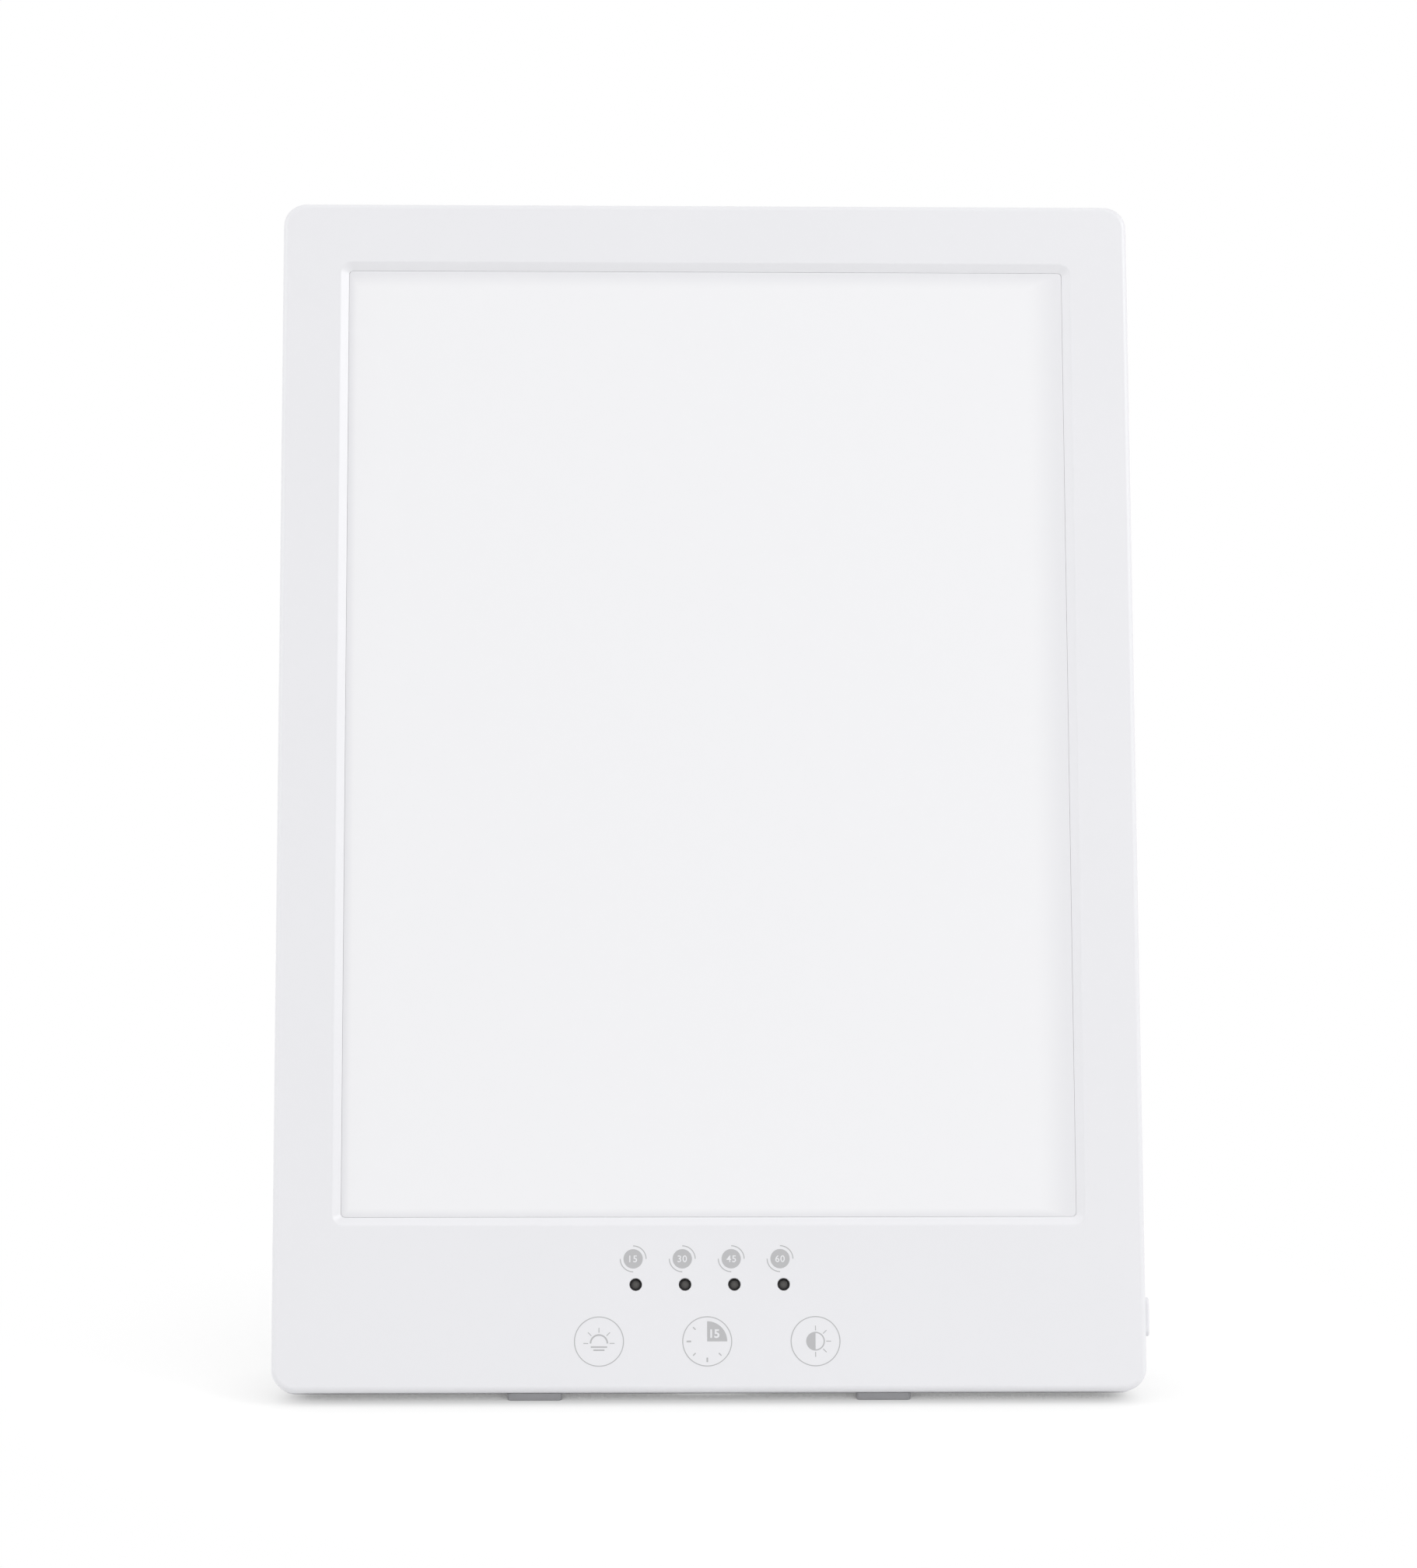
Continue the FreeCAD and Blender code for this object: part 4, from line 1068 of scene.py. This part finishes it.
def cutNumber(piece, text, x, z, digits):
    # knocks a number out of a printed shape
    bpy.ops.object.select_all(action="DESELECT")
    bpy.ops.object.text_add()
    letters = bpy.context.object
    letters.data.body = text
    letters.data.align_x = "CENTER"
    letters.data.align_y = "CENTER"
    letters.data.size = 1
    letters.data.extrude = 0.1
    letters.data.offset = digits["weight"]
    letters.data.space_character = digits["spacing"]
    bpy.ops.object.convert(target="MESH")
    number = bpy.context.object
    scale = digits["height"] * mm / number.dimensions.y
    number.scale = (scale, scale, scale)
    applyPlace(number)
    openMesh(number)
    bpy.ops.mesh.select_all(action="SELECT")
    bpy.ops.mesh.remove_doubles(threshold=0.001 * mm)
    closeMesh()
    low = Vector([min(c[i] for c in number.bound_box) for i in range(3)])
    high = Vector([max(c[i] for c in number.bound_box) for i in range(3)])
    middle = (low + high) / 2
    upright = Matrix.Rotation(math.radians(90), 4, "X")
    number.matrix_world = Matrix.Translation(Vector((x, 0, z)) * mm) @ upright @ Matrix.Translation(-middle)
    applyPlace(number)
    combine(piece, number, selfCrossing=True)


def finishInk(name, parts):
    piece = joined(parts)
    piece.name = name
    piece.data.name = name
    settle(piece, printedInk, "case")


def makeTimeMarks():
    for x, text in zip(ink["discX"], ("15", "30", "45", "60")):
        z = ink["discZ"]
        disc = inkDisc(x, z, ink["discR"])
        cutNumber(disc, text, x, z, ink["digits"])
        upper = inkDisc(x, z, ink["arcR"], ink["arcLine"], ((-1, 0, 0), (0, 0, -1)))
        lower = inkDisc(x, z, ink["arcR"], ink["arcLine"], ((1, 0, 0), (0, 0, 1)))
        finishInk("printedTime" + text, [disc, upper, lower])


def makeSunrise():
    x, z = ink["ringX"]["sunrise"], ink["ringZ"]
    sunZ = z - ink["sunDrop"]
    parts = [inkDisc(x, z, ink["ringR"], ink["ringLine"]),
             inkDisc(x, sunZ, ink["sunR"], ink["sunLine"], ((0, 0, -1),))]
    parts += inkRays(x, sunZ, ink["rayFrom"], ink["rayTo"], ink["rayLine"], (0, 45, 90, 135, 180))
    parts += [inkBar(x, sunZ + dz, length, ink["barLine"]) for dz, length in ink["barsZ"]]
    finishInk("printedSunrise", parts)


def makeTimer():
    x, z = ink["ringX"]["timer"], ink["ringZ"]
    sector = inkDisc(x, z, ink["sectorR"], 0, ((-1, 0, 0), (0, 0, -1)))
    digitAt = ink["timerDigitAt"]
    cutNumber(sector, "15", x + digitAt, z + digitAt, ink["timerDigits"])
    parts = [sector, inkDisc(x, z, ink["ringR"], ink["ringLine"])]
    parts += inkRays(x, z, *ink["tick"], (180, 270))
    parts += inkRays(x, z, *ink["smallTick"], (135, 225, 315))
    finishInk("printedTimer", parts)


def makeBrightness():
    x, z = ink["ringX"]["brightness"], ink["ringZ"]
    parts = [inkDisc(x, z, ink["ringR"], ink["ringLine"]),
             inkDisc(x, z, ink["bulbR"], ink["bulbLine"], ((-1, 0, 0),)),
             inkDisc(x, z, ink["bulbR"], 0, ((1, 0, 0),))]
    parts += inkRays(x, z, ink["rayFrom"], ink["rayTo"], ink["rayLine"], (-90, -45, 0, 45, 90))
    finishInk("printedBrightness", parts)


makeTimeMarks()
makeSunrise()
makeTimer()
makeBrightness()
print("printed marks made")


# white sweep: the camera and reflections see it as white paper with a dark contact shadow, the
# faint shadow of a broad light on the right and a share of the real shadows; far off it is white
sweep = {
    "width": 6000,
    "paper": 0.9,           # how much light it gives back
    "shownPaper": 1,
    "shownWhite": 1.06,
    "shadowShare": 0.2,
    "fade": (125, 200),     # distances from the point under the lamp's middle
    "contact": {"reach": 24, "power": 0.18, "towards": (0, 0, 1)},
    "broad": {"reach": 130, "power": 0.1, "towards": (0.6, -0.4, 0.69)},
}


def seenRay(tree):
    # 1 for rays from the camera, in a mirror or through glass
    path = addNode(tree, "LightPath")
    either = addNode(tree, "Math", {0: path.outputs["Is Camera Ray"], 1: path.outputs["Is Glossy Ray"]},
                     operation="MAXIMUM")
    return addNode(tree, "Math", {0: either.outputs[0], 1: path.outputs["Is Transmission Ray"]},
                   operation="MAXIMUM").outputs[0]


def shadeFrom(tree, values):
    # how open the floor is towards a light, made softer by a power
    towards = addNode(tree, "CombineXYZ", dict(enumerate(values["towards"])))
    opening = addNode(tree, "AmbientOcclusion", {"Distance": values["reach"] * mm,
                                                 "Normal": towards.outputs[0]}, samples=16)
    return addNode(tree, "Math", {0: opening.outputs["AO"], 1: values["power"]}, operation="POWER").outputs[0]


def makeSweep():
    floor = newSheet("floor", sweep["width"], sweep["width"], (0, 0, 0), (0, 0, 0))
    material = bpy.data.materials.new("whitePaper")
    material.use_nodes = True
    tree = material.node_tree
    tree.nodes.clear()
    seen = seenRay(tree)
    coords = addNode(tree, "TexCoord").outputs["Object"]
    distance = addNode(tree, "VectorMath", {0: coords}, operation="LENGTH").outputs["Value"]
    fade = mapRange(tree, distance, *[edge * mm for edge in sweep["fade"]], interpolation_type="SMOOTHSTEP")
    depth = addNode(tree, "Math", {0: shadeFrom(tree, sweep["contact"]), 1: shadeFrom(tree, sweep["broad"])},
                    operation="MULTIPLY")
    shade = addNode(tree, "Emission", {"Color": depth.outputs[0], "Strength": sweep["shownWhite"]})
    bright = addNode(tree, "BsdfDiffuse", {"Color": (*[sweep["shownPaper"]] * 3, 1)})
    close = addNode(tree, "MixShader", {0: sweep["shadowShare"], 1: shade.outputs[0], 2: bright.outputs[0]})
    white = addNode(tree, "Emission", {"Color": (1, 1, 1, 1), "Strength": 1})
    shown = addNode(tree, "MixShader", {0: fade, 1: close.outputs[0], 2: white.outputs[0]})
    plain = addNode(tree, "BsdfDiffuse", {"Color": (*[sweep["paper"]] * 3, 1)})
    mixed = addNode(tree, "MixShader", {0: seen, 1: plain.outputs[0], 2: shown.outputs[0]})
    addNode(tree, "OutputMaterial", {"Surface": mixed.outputs[0]})
    floor.data.materials.append(material)


studio = {
    "ambient": 0.5,
    "lift": 0.25,           # how much brighter the sky is overhead than at the horizon
    "key": {"at": (2.3, -1.3, 1.9), "size": 1.2, "power": 37},
    "side": {"at": (-2.7, -0.6, 1.5), "size": 2, "power": 28},
}


def makeLight(name, values):
    light = bpy.data.lights.new(name, "AREA")
    light.shape = "DISK"
    light.size = values["size"]
    light.energy = values["power"]
    lamp = bpy.data.objects.new(name, light)
    bpy.context.scene.collection.objects.link(lamp)
    lamp.location = values["at"]
    toLamp = Vector(values["at"]) - Vector((0, 0, 0.15))
    lamp.rotation_euler = toLamp.to_track_quat("Z", "Y").to_euler()


def makeWorld():
    world = bpy.data.worlds.new("studio")
    bpy.context.scene.world = world
    world.use_nodes = True
    tree = world.node_tree
    tree.nodes.clear()
    height = addNode(tree, "SeparateXYZ", {0: addNode(tree, "TexCoord").outputs["Generated"]}).outputs[2]
    low, high = studio["ambient"] - studio["lift"], studio["ambient"] + studio["lift"]
    strength = addNode(tree, "Mix", {0: seenRay(tree), 2: mapRange(tree, height, -1, 1, low, high), 3: 1})
    light = addNode(tree, "Background", {"Color": (1, 1, 1, 1), "Strength": strength.outputs[0]})
    addNode(tree, "OutputWorld", {"Surface": light.outputs[0]})


# lens and place of the camera, in mm, and its turn in degrees
view = {"lens": 112.9, "sensor": 36, "at": (-34.9, -1282.2, 340.2), "turn": (81.697, -0.2845, -1.535)}


def makeCamera():
    camera = bpy.data.cameras.new("camera")
    camera.sensor_fit = "VERTICAL"
    camera.sensor_height = view["sensor"]
    camera.sensor_width = view["sensor"]
    camera.lens = view["lens"]
    holder = bpy.data.objects.new("camera", camera)
    bpy.context.scene.collection.objects.link(holder)
    holder.location = Vector(view["at"]) * mm
    holder.rotation_euler = [math.radians(a) for a in view["turn"]]
    bpy.context.scene.camera = holder


makeSweep()
makeLight("keyLight", studio["key"])
makeLight("sideLight", studio["side"])
makeWorld()
makeCamera()
bpy.context.scene.view_settings.view_transform = "Standard"
print("studio made")
